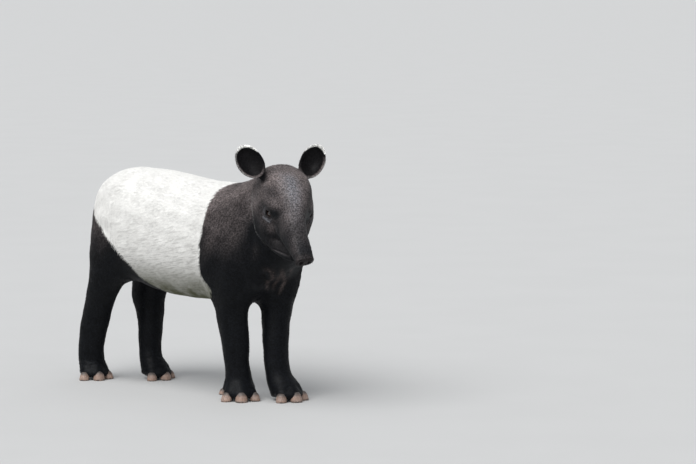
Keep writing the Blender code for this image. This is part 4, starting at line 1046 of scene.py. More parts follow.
def skin_shades(p, normals):
    """The skin's markings and painted light, each from 0 to 1: pale at the ears' rims, the inner side of
    the ears, bare at the snout's tip, painted shade in the hollows and creases, painted bluish-grey sheen
    round the eyes and on the bridge of the snout, and how much of the light from above reaches it, painted
    on as brown."""
    pale, inner_ear, ear_foot_shade = ear_shades(p, normals)
    bare, dark, ash, under = face_shades(p, normals)
    dark = np.maximum(dark, ear_foot_shade)
    # Painted shade along the creases and behind the cheek's fold
    for line, width, _ in all_creases():
        dark = np.maximum(dark, 0.32 * line_share(p, line, width * 0.8))
    dark = np.maximum(dark, 0.60 * line_share(p, body_line(CHEEK_EDGE, CHEEK_SHADOW_SHIFT), 0.009))
    pale = np.maximum(pale, 0.26 * line_share(p, body_line(CHEEK_EDGE, CHEEK_PALE_SHIFT), 0.0045))
    for _, _, points in BODY_CREASES:
        bare = np.maximum(bare, 0.42 * line_share(p, body_line(points, CREASE_WARM_SHIFT), 0.005))
    # Painted highlight: where the skin faces up, light from above is laid on the black as brown; the lit
    # spot on each cheek is painted the same way
    top = step_up(normals[:, 2] + 0.12 * slow_waves(p, (0.2, 0.13, 0.08), 21), -0.35, 0.75)
    for sign in (1, -1):
        lit = np.linalg.norm(p - on_side(sign, [CHEEK_LIGHT])[0], axis=1)
        top = np.maximum(top, 0.55 * np.exp(-(lit / 0.020) ** 2))
    # The painted highlight fades under the snout, where the chest faces forward away from the light, and
    # towards the snout's tip
    chest = step_up(-normals[:, 1], 0.30, 0.75) * step_up(0.62 - p[:, 2], 0, 0.10)
    top *= (1 - 0.9 * under) * (1 - 0.92 * chest) * (1 - 0.60 * step_up(in_head(p)[1], 0.15, 0.26))
    return pale, inner_ear, bare, dark, ash, top


# Line that trunk, neck and head are rolled off round in the unwrap: forward, side, height
UNWRAP_LINE = [(-0.50, 0, 0.55), (0.25, 0, 0.52), (0.42, -0.03, 0.60), (0.60, -0.09, 0.67),
               (0.78, -0.16, 0.58)]


def unwrap(p, zone_low, ear):
    """An unwrap of the skin's own shape for the coat's map. Trunk, neck and head are rolled off round
    a line through their middle; each leg is rolled off round its own line, and each ear is laid flat,
    front and back beside each other. Each part has its own field of the map."""
    forward, side = CENTRE_FORWARD - p[:, 1], p[:, 0] + CENTRE_SIDE
    at, line_side, line_height = np.array(UNWRAP_LINE).T
    from_side = side - np.interp(forward, at, line_side)
    angle = np.arctan2(from_side, np.interp(forward, at, line_height) - p[:, 2]) / (2 * pi) + 0.5
    uv = np.stack([0.02 + 0.70 * (forward + 0.55) / 1.40, 0.02 + 0.96 * angle], 1)
    for k, leg in enumerate(LEGS):
        tube = SHAPES[leg]
        x, y, z = tube.centre[np.argsort(tube.centre[:, 2])].T
        mine = (zone_low > 0.5) & (near(tube, p, 0.03) < 0.05)
        for other in LEGS:
            if other != leg:
                mine &= near(tube, p) <= near(SHAPES[other], p)
        turn = np.arctan2(p[:, 0] - np.interp(p[:, 2], z, x), p[:, 1] - np.interp(p[:, 2], z, y))
        turn = turn / (2 * pi) + 0.5
        flat = np.stack([0.745 + 0.115 * (k % 2) + 0.105 * turn,
                         0.02 + 0.36 * (k // 2) + 0.34 * p[:, 2] / 0.45], 1)
        uv = np.where(mine[:, None], flat, uv)
    for k, name in enumerate(EARS):
        middle, along, across, _ = ear_axes(name)
        q = p - middle
        back = near(EAR_SHAPES[name][0], p) > 0
        flat = np.stack([0.80 + 0.11 * k + q @ across * 0.9, 0.80 + 0.11 * back + q @ along * 0.75], 1)
        uv = np.where((ear == k + 1)[:, None], flat, uv)
    return np.clip(uv, 0.004, 0.996)


# Meshes

def new_mesh(name, points, faces):
    """A mesh object from arrays of points and of triangles or quads, shaded smooth."""
    points, faces = np.asarray(points, np.float32), np.asarray(faces, np.int32)
    mesh = bpy.data.meshes.new(name)
    sides = faces.shape[1]
    mesh.vertices.add(len(points))
    mesh.vertices.foreach_set("co", points.ravel())
    mesh.loops.add(faces.size)
    mesh.loops.foreach_set("vertex_index", faces.ravel())
    mesh.polygons.add(len(faces))
    mesh.polygons.foreach_set("loop_start", np.arange(0, faces.size, sides, dtype=np.int32))
    mesh.update(calc_edges=True)
    mesh.validate()
    mesh.shade_smooth()
    thing = bpy.data.objects.new(name, mesh)
    bpy.context.scene.collection.objects.link(thing)
    return thing


def set_values(thing, **values):
    """Stores one number for each point under each name."""
    for name, numbers in values.items():
        layer = thing.data.attributes.new(name, "FLOAT", "POINT")
        layer.data.foreach_set("value", np.asarray(numbers, np.float32))


def dress(thing, material, slot_name, *nodes):
    """Gives a finished piece its material and body, and hides the solids that it stands for; slot_name is
    not used.
    """
    thing.data.materials.append(material)
    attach(thing, "root")
    if nodes:
        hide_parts(*nodes)


SKIN = {}                    # the skin's arrays, kept for the coat that grows on it


def make_skin(settings):
    """The level surface of the skin's field, moved along its normals by its folds."""
    points, faces, normals = skin_surface(settings.coat_depth)
    legs = leg_distance(points)
    lie, low = lie_of_hair(points, normals, legs)
    points = points + normals * fold_depth(points, low)[:, None]
    marks = dict(zip(("pale", "inner_ear", "bare", "dark", "ash", "top"), skin_shades(points, normals)))
    ear = np.zeros(len(points), int)
    for k, name in enumerate(EARS):
        ear[ear_wall_field(name, points, EAR_SKIN) < 0.004] = k + 1
    SKIN.update(points=points, faces=faces, normals=normals, lie=lie, low=low, ear=ear,
                saddle=saddle_depth(points, legs), legs=low, **marks)
    skin = new_mesh("skin", points, faces)
    set_values(skin, saddle=SKIN["saddle"], legs=low, shade=np.full(len(points), 0.5), **marks)
    return skin


def pick_roots(chosen, spacing, random):
    """Places on the chosen triangles, one for each square of spacing, spread along their order."""
    corner = SKIN["points"][SKIN["faces"][chosen]]
    area = np.linalg.norm(np.cross(corner[:, 1] - corner[:, 0], corner[:, 2] - corner[:, 0]), axis=1) / 2
    total = np.cumsum(area / spacing[chosen] ** 2)
    count = int(total[-1])
    at = np.searchsorted(total, (np.arange(count) + random.random(count)) * total[-1] / count)
    at = chosen[np.minimum(at, len(chosen) - 1)]
    a, b = random.random(count), random.random(count)
    over = a + b > 1
    a[over], b[over] = 1 - a[over], 1 - b[over]
    return SKIN["faces"][at], np.stack([1 - a - b, a, b], 1)


def at_roots(values, corners, shares):
    """A skin value at the roots, from the corners of their triangles."""
    values = SKIN[values] if isinstance(values, str) else values
    if values.ndim == 1:
        return (values[corners] * shares).sum(1)
    return (values[corners] * shares[..., None]).sum(1)


def unit(v):
    return v / np.maximum(np.linalg.norm(v, axis=1), 1e-9)[:, None]


TUFT_FACES = np.array([(0, 2, 1), (0, 1, 4), (0, 4, 3), (1, 2, 5), (1, 5, 4), (2, 0, 3), (2, 3, 5),
                       (3, 4, 6), (4, 5, 6), (5, 3, 6)])


def make_tufts(name, root, normal, lie, length, width, lift, values, uv, sink=0.0006, soft=0.0):
    """A field of tufts: each is a flat spike of three sides that rises from its root, bends over and
    ends in a point. Its middle line runs length along the lie and lift up along the normal, with a knee
    at 45 in 100 of its length. soft is how much of its shading follows the skin under it rather than
    its own sides."""
    across = unit(np.cross(normal, lie))
    length, width, lift = (np.asarray(x)[:, None] for x in (length, width, lift))
    thick = width * 0.45
    base, knee = root - normal * sink, root + lie * length * 0.45 + normal * lift * 0.75
    tip = root + lie * length + normal * lift
    rings = [base - across * width / 2, base + across * width / 2,
             base + normal * thick - lie * width * 0.3,
             knee - across * width * 0.42, knee + across * width * 0.42, knee + normal * thick * 0.8, tip]
    points = np.stack(rings, 1).reshape(-1, 3)
    faces = (np.arange(len(root))[:, None, None] * 7 + TUFT_FACES[None]).reshape(-1, 3)
    thing = new_mesh(name, points, faces)
    set_values(thing, **{key: np.repeat(numbers, 7) for key, numbers in values.items()})
    patch = np.array([(-1, -1), (1, -1), (0, -1), (-1, 0), (1, 0), (0, 0), (0, 1)]) * 0.0015
    layer = thing.data.uv_layers.new(name="OFBake")
    corner_uv = (uv[:, None] + patch[None])[:, TUFT_FACES.ravel()]
    layer.data.foreach_set("uv", np.asarray(corner_uv, np.float32).ravel())
    if soft:
        own = np.array([(-1, 0), (1, 0), (0, 0.1), (-1, 0), (1, 0), (0, 0), (0, 0.3)]) * (1 - soft)
        looks = normal[:, None] + across[:, None] * own[None, :, :1] + lie[:, None] * own[None, :, 1:]
        thing.data.normals_split_custom_set_from_vertices(unit(looks.reshape(-1, 3)))
    return thing


# Coat: for each kind of place the side of the square that holds one tuft, and its length, width and lift
COAT_PLACES = {
    "trunk": (0.0041, 0.0140, 0.0017, 0.0013),
    "neck": (0.0039, 0.0120, 0.0016, 0.0013),
    "leg": (0.0037, 0.0085, 0.0014, 0.0012),
    "foot": (0.0033, 0.0065, 0.0012, 0.0010),
    "head": (0.0032, 0.0072, 0.0011, 0.0009),
    "face": (0.0029, 0.0048, 0.0009, 0.0006),
    "ear": (0.0030, 0.0052, 0.0008, 0.0007),
}
TUFT_SOFT = 0.72             # how much of a tuft's shading follows the skin under it
LIE_SCATTER = 0.16           # how far, in radians, a tuft's lie strays from its neighbours'
PIECE_TUFTS = 19500          # most tufts in one piece
BARE_SOLE = 0.012            # the feet have no hair below this height


def coat_sizes(p):
    """Spacing, length, width and lift of the tufts at each point: the rows of COAT_PLACES, mixed
    smoothly from trunk to legs and feet, and to neck, head and face."""
    ahead = in_head(p)[1]
    row = {name: np.array(values) for name, values in COAT_PLACES.items()}

    def blend(values, share, name):
        return values * (1 - share[:, None]) + share[:, None] * row[name]

    sizes = np.tile(row["trunk"], (len(p), 1))
    sizes = blend(sizes, step_up(CENTRE_FORWARD - p[:, 1], 0.22, 0.36), "neck")
    sizes = blend(sizes, step_up(ahead, -0.05, 0.05), "head")
    sizes = blend(sizes, step_up(ahead, 0.07, 0.17), "face")
    sizes = blend(sizes, SKIN["low"] * step_up(-p[:, 2], -0.42, -0.30), "leg")
    sizes = blend(sizes, SKIN["low"] * step_up(-p[:, 2], -0.12, -0.05), "foot")
    return blend(sizes, (SKIN["ear"] > 0).astype(float), "ear")


# Pieces of the coat behind the head: how far forward each starts, and its name
COAT_ZONES = [(0.34, "coat_neck"), (0.21, "coat_shoulders"), (0.02, "coat_ribs"), (-0.17, "coat_loin")]
LEG_ZONE_TOP = 0.30


def coat_zones(p):
    """Name of the coat piece that each point belongs to."""
    ahead, forward = in_head(p)[1], CENTRE_FORWARD - p[:, 1]
    zone = np.select([forward > start for start, _ in COAT_ZONES], [name for _, name in COAT_ZONES],
                     "coat_rump").astype(object)
    zone[ahead > -0.03] = "coat_head"
    zone[ahead > 0.10] = "coat_face"
    fore, right = forward > 0, p[:, 0] < -CENTRE_SIDE
    for name, there in (("foreleg_r", fore & right), ("foreleg_l", fore & ~right),
                        ("hindleg_r", ~fore & right), ("hindleg_l", ~fore & ~right)):
        zone[there & (p[:, 2] < LEG_ZONE_TOP)] = "coat_" + name
    zone[SKIN["ear"] > 0] = "coat_ears"
    return zone


def make_coat(settings):
    """Tufts on every haired triangle of the skin, one piece for each zone and at most PIECE_TUFTS
    tufts in each, and their lie strayed at random about the skin's."""
    random = np.random.default_rng(settings.seed)
    p, faces = SKIN["points"], SKIN["faces"]
    sizes = coat_sizes(p)
    sizes[:, 0] *= 1.0 * settings.spacing
    sizes[:, 1:] *= settings.size
    zones = coat_zones(p)[faces[:, 0]]
    hairless = np.maximum(SKIN["bare"], SKIN["dark"])[faces].max(1) > 0.35
    hollow = (SKIN["inner_ear"][faces].mean(1) > 0.5) & (SKIN["pale"][faces].max(1) < 0.2)
    sole = p[faces][:, :, 2].max(1) < BARE_SOLE
    thin = sizes[faces].mean(1)
    pieces = []
    for zone in sorted(set(zones)):
        chosen = np.flatnonzero((zones == zone) & ~hairless & ~hollow & ~sole)
        if not len(chosen):
            continue
        corners, shares = pick_roots(chosen, thin[:, 0], random)
        parts = int(np.ceil(len(corners) / PIECE_TUFTS))
        for k, part in enumerate(np.array_split(np.arange(len(corners)), parts)):
            name = zone if parts == 1 else f"{zone}_{k + 1}"
            pieces.append((coat_piece(name, corners[part], shares[part], sizes, random), zone))
    return pieces


def coat_piece(name, corners, shares, sizes, random):
    """One piece of the coat: its tufts' sizes, stray and tone, drawn at random round the usual ones."""
    root, normal = at_roots("points", corners, shares), unit(at_roots("normals", corners, shares))
    lie, size = unit(at_roots("lie", corners, shares)), at_roots(sizes, corners, shares)
    across = np.cross(normal, lie)
    stray = LIE_SCATTER * (random.normal(size=len(root)) + 0.8 * slow_waves(root, (0.09, 0.05, 0.035), 11))
    lie = unit(lie + across * stray[:, None])
    pale = at_roots("pale", corners, shares)
    length = size[:, 1] * random.uniform(0.65, 1.25, len(root)) * (1 + 0.6 * pale)
    lift = size[:, 3] * random.uniform(0.4, 1.15, len(root)) * (1 + 1.0 * pale)
    width = size[:, 2] * random.uniform(0.7, 1.25, len(root))
    values = {mask: at_roots(mask, corners, shares) for mask in COAT_MASKS if mask != "shade"}
    values["shade"] = random.random(len(root))
    ear = SKIN["ear"][corners[:, 0]]
    return make_tufts(name, root, normal, lie, length, width, lift, values,
                      unwrap(root, values["legs"], ear), soft=TUFT_SOFT)


# Longer hairs

FRINGE_COUNT = 4200          # hairs on each ear's rim
FRINGE_LENGTH = 0.0042
FRINGE_WIDTH = 0.0013
WHISKERS = 46                # on each side of the muzzle
WHISKER_LENGTHS = (0.010, 0.022)
WHISKER_WIDTH = 0.0005
LASHES = 26                  # at most, on each upper lid
LASH_LENGTH = 0.0065


def spread_values(count, **given):
    """The coat's values for hairs that grow one by one: all 0 but those given."""
    values = {mask: np.zeros(count) for mask in COAT_MASKS}
    values["saddle"] -= 0.05
    values.update({key: np.broadcast_to(value, (count,)).copy() for key, value in given.items()})
    return values


def make_fringe(settings):
    """White hairs on the upper edge of each ear's rim. A root lies on the rim's oval, at a turn from
    its tip drawn from a bell curve, and its hair points outwards from the oval's middle."""
    random = np.random.default_rng(settings.seed + 1)
    roots, normals, lies, uvs, lengths = [], [], [], [], []
    for k, name in enumerate(EARS):
        middle, along, across, faces = ear_axes(name)
        from_middle = np.clip(random.normal(0, 0.55, FRINGE_COUNT), -1, 1)
        turn = FRINGE_MIDDLE[name] + FRINGE_REACH * from_middle
        grown = FRINGE_LENGTH * (1 - 0.75 * np.abs(from_middle) ** 3)
        grown = grown * random.uniform(0.80, 1.0, FRINGE_COUNT)
        inside = random.uniform(0.93, 1.0, FRINGE_COUNT)[:, None]
        ring = (along * (EAR_HALF[0] * np.cos(turn))[:, None]
                + across * (EAR_HALF[1] * np.sin(turn))[:, None])
        out = unit(ring)
        root = middle + ring * inside - faces * (0.0015 + 0.05 * (1 - inside))
        lie = unit(out + faces * random.uniform(-0.30, 0.12, FRINGE_COUNT)[:, None]
                   + along * random.uniform(0, 0.25, FRINGE_COUNT)[:, None])
        roots.append(root)
        normals.append(unit(faces - lie * (lie @ faces)[:, None]))
        lies.append(lie)
        lengths.append(grown + 0.003 * (1 - inside[:, 0]) / 0.07)
        uvs.append(unwrap(root, np.zeros(len(root)), np.full(len(root), k + 1)))
    root = np.concatenate(roots)
    values = spread_values(len(root), pale=1.0, shade=random.random(len(root)))
    return make_tufts("ear_fringe", root, np.concatenate(normals), np.concatenate(lies),
                      np.concatenate(lengths), np.full(len(root), FRINGE_WIDTH),
                      random.uniform(-0.0003, 0.0004, len(root)), values, np.concatenate(uvs),
                      sink=0.0, soft=0.85)


def make_whiskers(settings):
    """Sparse stiff hairs on lips and chin, and lashes on the upper lids."""
    random = np.random.default_rng(settings.seed + 2)
    _, forward, up = in_head(SKIN["points"])
    from_mouth = np.abs(up - mouth_level(forward))
    muzzle = np.flatnonzero((from_mouth < 0.020) & (from_mouth > 0.005) & (forward > 0.14)
                            & (forward < 0.29) & (SKIN["dark"] < 0.2))
    picks = [random.choice(muzzle, 2 * WHISKERS, replace=False)]
    sizes = [random.uniform(*WHISKER_LENGTHS, 2 * WHISKERS)]
    for side in (1, -1):
        centre, along, across, out = eye_frame(side)
        q = SKIN["points"] - centre
        lid = np.flatnonzero((q @ across > 0.0045) & (q @ across < 0.0085) & (np.abs(q @ along) < 0.010)
                             & (q @ out > 0.004) & (np.linalg.norm(q, axis=1) < 0.019))
        picks.append(random.choice(lid, min(LASHES, len(lid)), replace=False))
        sizes.append(np.full(len(picks[-1]), LASH_LENGTH))
    pick, length = np.concatenate(picks), np.concatenate(sizes)
    root, normal = SKIN["points"][pick], SKIN["normals"][pick]
    way = unit(normal * 0.9 + SKIN["lie"][pick] * random.uniform(-0.2, 0.6, len(pick))[:, None]
               - np.array([0, 0, 0.5]))
    values = spread_values(len(pick), shade=random.random(len(pick)))
    side = unit(np.cross(way, [0.3, 0.2, 1.0]))
    return make_tufts("whiskers", root, side, way, length, np.full(len(pick), WHISKER_WIDTH),
                      random.uniform(-0.002, 0.002, len(pick)), values,
                      unwrap(root, np.zeros(len(root)), np.zeros(len(root), int)))


# Hooves

HOOF_ROWS, HOOF_TURNS = 16, 36
HOOF_RINGS = 5.5             # growth rings from the sole to the top
HOOF_BAND = 0.035            # how far the soft band at the top stands out, as a share of the half width


def hoof_surface(root, way, reach, half, rise, rings):
    """A nail: level ovals, longer in front, that draw in and lean back towards the top as the solid's
    do. Its wall has growth rings, the edge of its sole is rounded off and a soft band rings its top.
    Gives points, triangles and each point's share of the height."""
    level = np.linspace(0, 1, HOOF_ROWS)[:, None]
    turn = np.linspace(0, 2 * pi, HOOF_TURNS, endpoint=False)[None]
    front = 0.5 + 0.5 * np.cos(turn)
    draw = (1 - 0.84 * level ** 2.2) ** 0.5
    draw = draw * (1 - 0.05 * np.exp(-(level / 0.05) ** 2)) * (1 - 0.24 * level ** 1.5)
    ripple = 0.5 + 0.5 * np.sin(level * 2 * pi * HOOF_RINGS + 0.5 * np.cos(turn * 2))
    draw = draw * (1 - rings * ripple * front)
    draw = draw + HOOF_BAND * np.exp(-((level - 0.80) / 0.07) ** 2)
    ahead = np.where(np.cos(turn) > 0, half * HOOF_LENGTH, half * HOOF_BACK) * np.cos(turn) * draw
    ahead = ahead - HOOF_LEAN * half * level
    height = half * HOOF_HEIGHT * np.sin(level * pi / 2) + rise + 0 * turn
    across = half * np.sin(turn) * draw
    middle, side = root + way * reach, np.cross([0, 0, 1], way)
    wall = (middle + way * ahead[..., None] + side * across[..., None]
            + np.array([0, 0, 1]) * height[..., None]).reshape(-1, 3)
    ends = np.array([middle + [0, 0, rise], wall[-HOOF_TURNS:].mean(0) + [0, 0, half * 0.05]])
    share = np.concatenate([np.repeat(level[:, 0], HOOF_TURNS), [0, 1]])
    return np.concatenate([wall, ends]), ring_faces(HOOF_ROWS, HOOF_TURNS), share


def ring_faces(rings, turns):
    """Triangles of a closed surface whose points are rings in order, then the point at either end."""
    i, j = np.meshgrid(np.arange(rings - 1), np.arange(turns), indexing="ij")
    a, b = i * turns + j, i * turns + (j + 1) % turns
    quads = np.stack([a, b, b + turns, a + turns], -1).reshape(-1, 4)
    here, end = np.arange(turns), np.full(turns, rings * turns)
    beside, last = (here + 1) % turns, (rings - 1) * turns
    fans = [np.stack([end, beside, here], 1), np.stack([end + 1, last + here, last + beside], 1)]
    return np.concatenate([quads[:, [0, 1, 2]], quads[:, [0, 2, 3]], *fans])


def outward_faces(points, faces):
    """Turns a closed surface's triangles so that they face outwards."""
    a, b, c = (points[faces[:, k]] for k in range(3))
    return faces if (a * np.cross(b, c)).sum() > 0 else faces[:, ::-1]


def make_hooves(leg, settings):
    """One piece for each foot: a nail for each toe."""
    points, faces, share, tint, count = [], [], [], [], 0
    random = np.random.default_rng(len(leg) + int(1000 * abs(FEET[leg][0])))
    for _, root, way, reach, half, rise in foot_toes(leg):
        p, f, s = hoof_surface(root, way, reach, half, rise, settings.rings)
        faces.append(outward_faces(p - p.mean(0), f) + count)
        points.append(p)
        share.append(s)
        tint.append(np.full(len(p), random.random()))
        count += len(p)
    thing = new_mesh("hooves_" + leg, np.concatenate(points), np.concatenate(faces))
    set_values(thing, level=np.concatenate(share), shade=np.concatenate(tint))
    return thing


# Eyes

def make_eyeball(side, settings):
    """A ball whose front swells to a cornea: rings round the way it looks, from front to back. The
    turn from that way is stored as axis, 0 in front and 1 behind."""
    centre, along, across, out = eye_frame(side)
    rows, turns, flat = 40, 48, 0.985
    a = np.linspace(0, pi, rows)[1:-1, None]
    b = np.linspace(0, 2 * pi, turns, endpoint=False)[None]
    radius = EYE_RADIUS * (flat + settings.cornea * np.exp(-(a / 0.42) ** 2)) + 0 * b
    p = (along * (np.sin(a) * np.cos(b))[..., None] + across * (np.sin(a) * np.sin(b))[..., None]
         + out * (np.cos(a) + 0 * b)[..., None]) * radius[..., None] + centre
    ends = np.array([centre + out * EYE_RADIUS * (flat + settings.cornea),
                     centre - out * EYE_RADIUS * flat])
    points = np.concatenate([p.reshape(-1, 3), ends])
    faces = outward_faces(points - centre, ring_faces(rows - 2, turns))
    thing = new_mesh("eyeball_l" if side > 0 else "eyeball_r", points, faces)
    set_values(thing, axis=np.concatenate([np.repeat(a[:, 0] / pi, turns), [0, 1]]),
               turn=np.concatenate([np.tile(b[0], rows - 2), [0, 0]]))
    return thing


# Materials

def add(tree, kind, values=None, links=None, **settings):
    """A node with its settings, its own values by socket name or number, and what feeds it."""
    node = tree.nodes.new(kind)
    for key, value in settings.items():
        setattr(node, key, value)
    for key, value in (values or {}).items():
        node.inputs[key].default_value = value
    for key, source in (links or {}).items():
        tree.links.new(source, node.inputs[key])
    return node


def ramp(tree, source, low, high, to_low=0.0, to_high=1.0, smooth=True):
    """The source between low and high, as a share between to_low and to_high."""
    values = {"From Min": low, "From Max": high, "To Min": to_low, "To Max": to_high}
    kind = "SMOOTHSTEP" if smooth else "LINEAR"
    node = add(tree, "ShaderNodeMapRange", values, {"Value": source}, interpolation_type=kind)
    return node.outputs["Result"]


def mixed(tree, share, a, b, mode="MIX"):
    """Colour b over colour a by share. Each is a socket or a colour, and share a socket or a number."""
    node = add(tree, "ShaderNodeMix", data_type="RGBA", blend_type=mode)
    factor, first, second = node.inputs[0], node.inputs[6], node.inputs[7]
    for socket, value in ((factor, share), (first, a), (second, b)):
        if isinstance(value, bpy.types.NodeSocket):
            tree.links.new(value, socket)
        elif socket is factor:
            socket.default_value = value
        else:
            socket.default_value = (*value[:3], 1)
    return node.outputs[2]


def sums(tree, operation, a, b):
    """The result of a sum on two sockets or numbers."""
    node = add(tree, "ShaderNodeMath", operation=operation)
    for socket, value in zip(node.inputs, (a, b)):
        if isinstance(value, bpy.types.NodeSocket):
            tree.links.new(value, socket)
        else:
            socket.default_value = value
    return node.outputs[0]


def times(tree, a, b):
    return sums(tree, "MULTIPLY", a, b)


def plus(tree, a, b):
    return sums(tree, "ADD", a, b)


def stored(tree, name):
    """The value that each point has stored under that name."""
    return add(tree, "ShaderNodeAttribute", attribute_name=name).outputs["Fac"]


def relief(tree, shader, height, strength, distance):
    """Lets a height make fine relief on the shader."""
    bump = add(tree, "ShaderNodeBump", {"Strength": strength, "Distance": distance}, {"Height": height})
    tree.links.new(bump.outputs["Normal"], shader.inputs["Normal"])


def noise(tree, scale, detail=2.0, rough=0.5, at=None, stretch=(1, 1, 1), turn=(0, 0, 0)):
    """Noise on the object's own place, stretched and turned as asked."""
    place_at = at or add(tree, "ShaderNodeTexCoord").outputs["Object"]
    if stretch != (1, 1, 1) or turn != (0, 0, 0):
        place_at = add(tree, "ShaderNodeMapping", {"Rotation": turn}, {"Vector": place_at}).outputs[0]
        place_at = add(tree, "ShaderNodeMapping", {"Scale": stretch}, {"Vector": place_at}).outputs[0]
    return add(tree, "ShaderNodeTexNoise", {"Scale": scale, "Detail": detail, "Roughness": rough},
               {"Vector": place_at}).outputs["Fac"]


def group(name, inputs, outputs):
    """An empty node group with its sockets: name, kind and start value."""
    tree = bpy.data.node_groups.new(name, "ShaderNodeTree")
    for title, kind, start in inputs:
        socket = tree.interface.new_socket(title, in_out="INPUT", socket_type="NodeSocket" + kind)
        socket.default_value = (*start, 1) if kind == "Color" else start
    for title, kind in outputs:
        tree.interface.new_socket(title, in_out="OUTPUT", socket_type="NodeSocket" + kind)
    return tree, tree.nodes.new("NodeGroupInput").outputs, tree.nodes.new("NodeGroupOutput").inputs


def streak_group():
    """Streaks of short hair: noise drawn out along the lie of the coat, backwards on the trunk and
    downwards on the legs, fine and broad."""
    tree, given, out = group("hair streaks", [("Legs", "Float", 0.0)],
                             [("Fine", "Float"), ("Broad", "Float")])
    for title, across, along in (("Fine", 200, 22), ("Broad", 90, 10)):
        back = noise(tree, 1.0, 3, 0.6, stretch=(across, along, across), turn=(radians(10), 0, 0))
        down = noise(tree, 1.0, 3, 0.6, stretch=(across, across, along))
        node = add(tree, "ShaderNodeMix", links={0: given["Legs"], 2: back, 3: down}, data_type="FLOAT")
        tree.links.new(node.outputs[0], out[title])
    return tree


DEEP_SHADE = (0.006, 0.005, 0.005)     # in nostrils, folds and the line of the mouth
PUPIL = (0.003, 0.002, 0.002)
COAT_ROUGHNESS = (0.46, 0.85)          # of black and of white hair
COAT_MASKS = ("saddle", "legs", "shade", "pale", "inner_ear", "bare", "dark", "ash", "top")


def coat_group(streaks, c):
    """The coat's markings and painted light: black with a painted brown highlight and grey glints where
    light from above falls, and painted grey sheen; the white saddle with its frayed edge, grey streaks, and
    grime with painted shade towards the bottom; the pale rims of the ears, their inner sides, bare skin,
    and painted shade in the hollows and creases."""
    inputs = [(mask, "Float", 0.0) for mask in COAT_MASKS]
    inputs += [(title, "Color", tuple(colour)) for title, colour in (
        ("Black", c.black), ("Lit brown", c.lit_brown), ("White", c.white), ("Grey", c.grey), ("Grime and low shade", c.grime_and_low_shade),
        ("Bare", c.bare), ("Hollow", c.hollow), ("Ash", c.ash))]
    tree, given, out = group("tapir coat", inputs,
                             [("Color", "Color"), ("Dull share", "Float"), ("Height", "Float")])
    hair = add(tree, "ShaderNodeGroup", node_tree=streaks)
    tree.links.new(given["legs"], hair.inputs["Legs"])
    fine, broad = hair.outputs["Fine"], hair.outputs["Broad"]
    height = add(tree, "ShaderNodeSeparateXYZ",
                 links={0: add(tree, "ShaderNodeTexCoord").outputs["Object"]}).outputs["Z"]
    wobble = times(tree, sums(tree, "SUBTRACT", noise(tree, 26, 3, 0.5), 0.5), 0.012)
    fringe = times(tree, sums(tree, "SUBTRACT", fine, 0.5), 0.008)
    white = ramp(tree, plus(tree, given["saddle"], plus(tree, wobble, fringe)), -0.0016, 0.0016)

    # Painted highlight: brown on the black where light from above falls, more higher up and in soft clouds
    clouds = ramp(tree, noise(tree, 7, 4, 0.6), 0.28, 0.66, 0.45, 1)
    lit_top_or_worn_edge = times(tree, times(tree, ramp(tree, height, 0.33, 0.66), clouds), given["top"])
    # Painted glints: grey specks in the painted brown highlight
    lit_glint_specks = times(tree, ramp(tree, fine, 0.52, 0.72, 0, 0.35), lit_top_or_worn_edge)
    # Painted sheen: bluish grey on the bridge, round the eyes and along the ridges, speckled by the streaks
    ash = times(tree, given["ash"], ramp(tree, fine, 0.25, 0.6, 0.5, 1))
    black = mixed(tree, lit_top_or_worn_edge, given["Black"], given["Lit brown"])
    black = mixed(tree, lit_glint_specks, black, given["Ash"])
    black = mixed(tree, ash, black, given["Ash"])

    depth = ramp(tree, height, 0.70, 0.42, 0.08, 1.0)
    fine_grey = times(tree, ramp(tree, fine, 0.54, 0.36), depth)
    broad_grey = times(tree, ramp(tree, broad, 0.50, 0.30, 0, 0.30), depth)
    # Grime and painted shade: the white turns darker and grey-green towards the bottom
    grime_and_low_shade_share = times(tree, ramp(tree, height, 0.475, 0.335),
                 ramp(tree, noise(tree, 14, 4, 0.65), 0.30, 0.62, 0.70, 1.0))
    pale_hair = mixed(tree, fine_grey, given["White"], given["Grey"])
    pale_hair = mixed(tree, broad_grey, pale_hair, given["Grey"])
    pale_hair = mixed(tree, grime_and_low_shade_share, pale_hair, given["Grime and low shade"])

    colour = mixed(tree, white, black, pale_hair)
    for mask, title in (("inner_ear", "Hollow"), ("pale", "White"), ("bare", "Bare")):
        colour = mixed(tree, given[mask], colour, given[title])
    spread = ramp(tree, sums(tree, "MAXIMUM", white, given["pale"]), 0, 1, 0.60, 0.07, False)
    tone = plus(tree, 1.0, times(tree, spread, ramp(tree, given["shade"], 0, 1, -1, 1, False)))
    grain = ramp(tree, noise(tree, 195, 3, 0.7), 0.34, 0.68, -0.52, 0.90)
    grain = plus(tree, 1.0, times(tree, sums(tree, "SUBTRACT", 1.0, white), grain))
    colour = add(tree, "ShaderNodeVectorMath", links={0: colour, "Scale": times(tree, tone, grain)},
                 operation="SCALE").outputs[0]
    # Painted shade in the nostrils, the eyes' hollows, the mouth, the creases, under the snout and at the
    # ears' feet
    colour = mixed(tree, given["dark"], colour, DEEP_SHADE)
    tree.links.new(colour, out["Color"])
    tree.links.new(sums(tree, "MAXIMUM", white, given["dark"]), out["Dull share"])
    tree.links.new(plus(tree, fine, times(tree, noise(tree, 420, 2, 0.6), 0.5)), out["Height"])
    return tree


def principled(name):
    material = bpy.data.materials.new(name)
    material.use_nodes = True
    return material, material.node_tree, material.node_tree.nodes["Principled BSDF"]


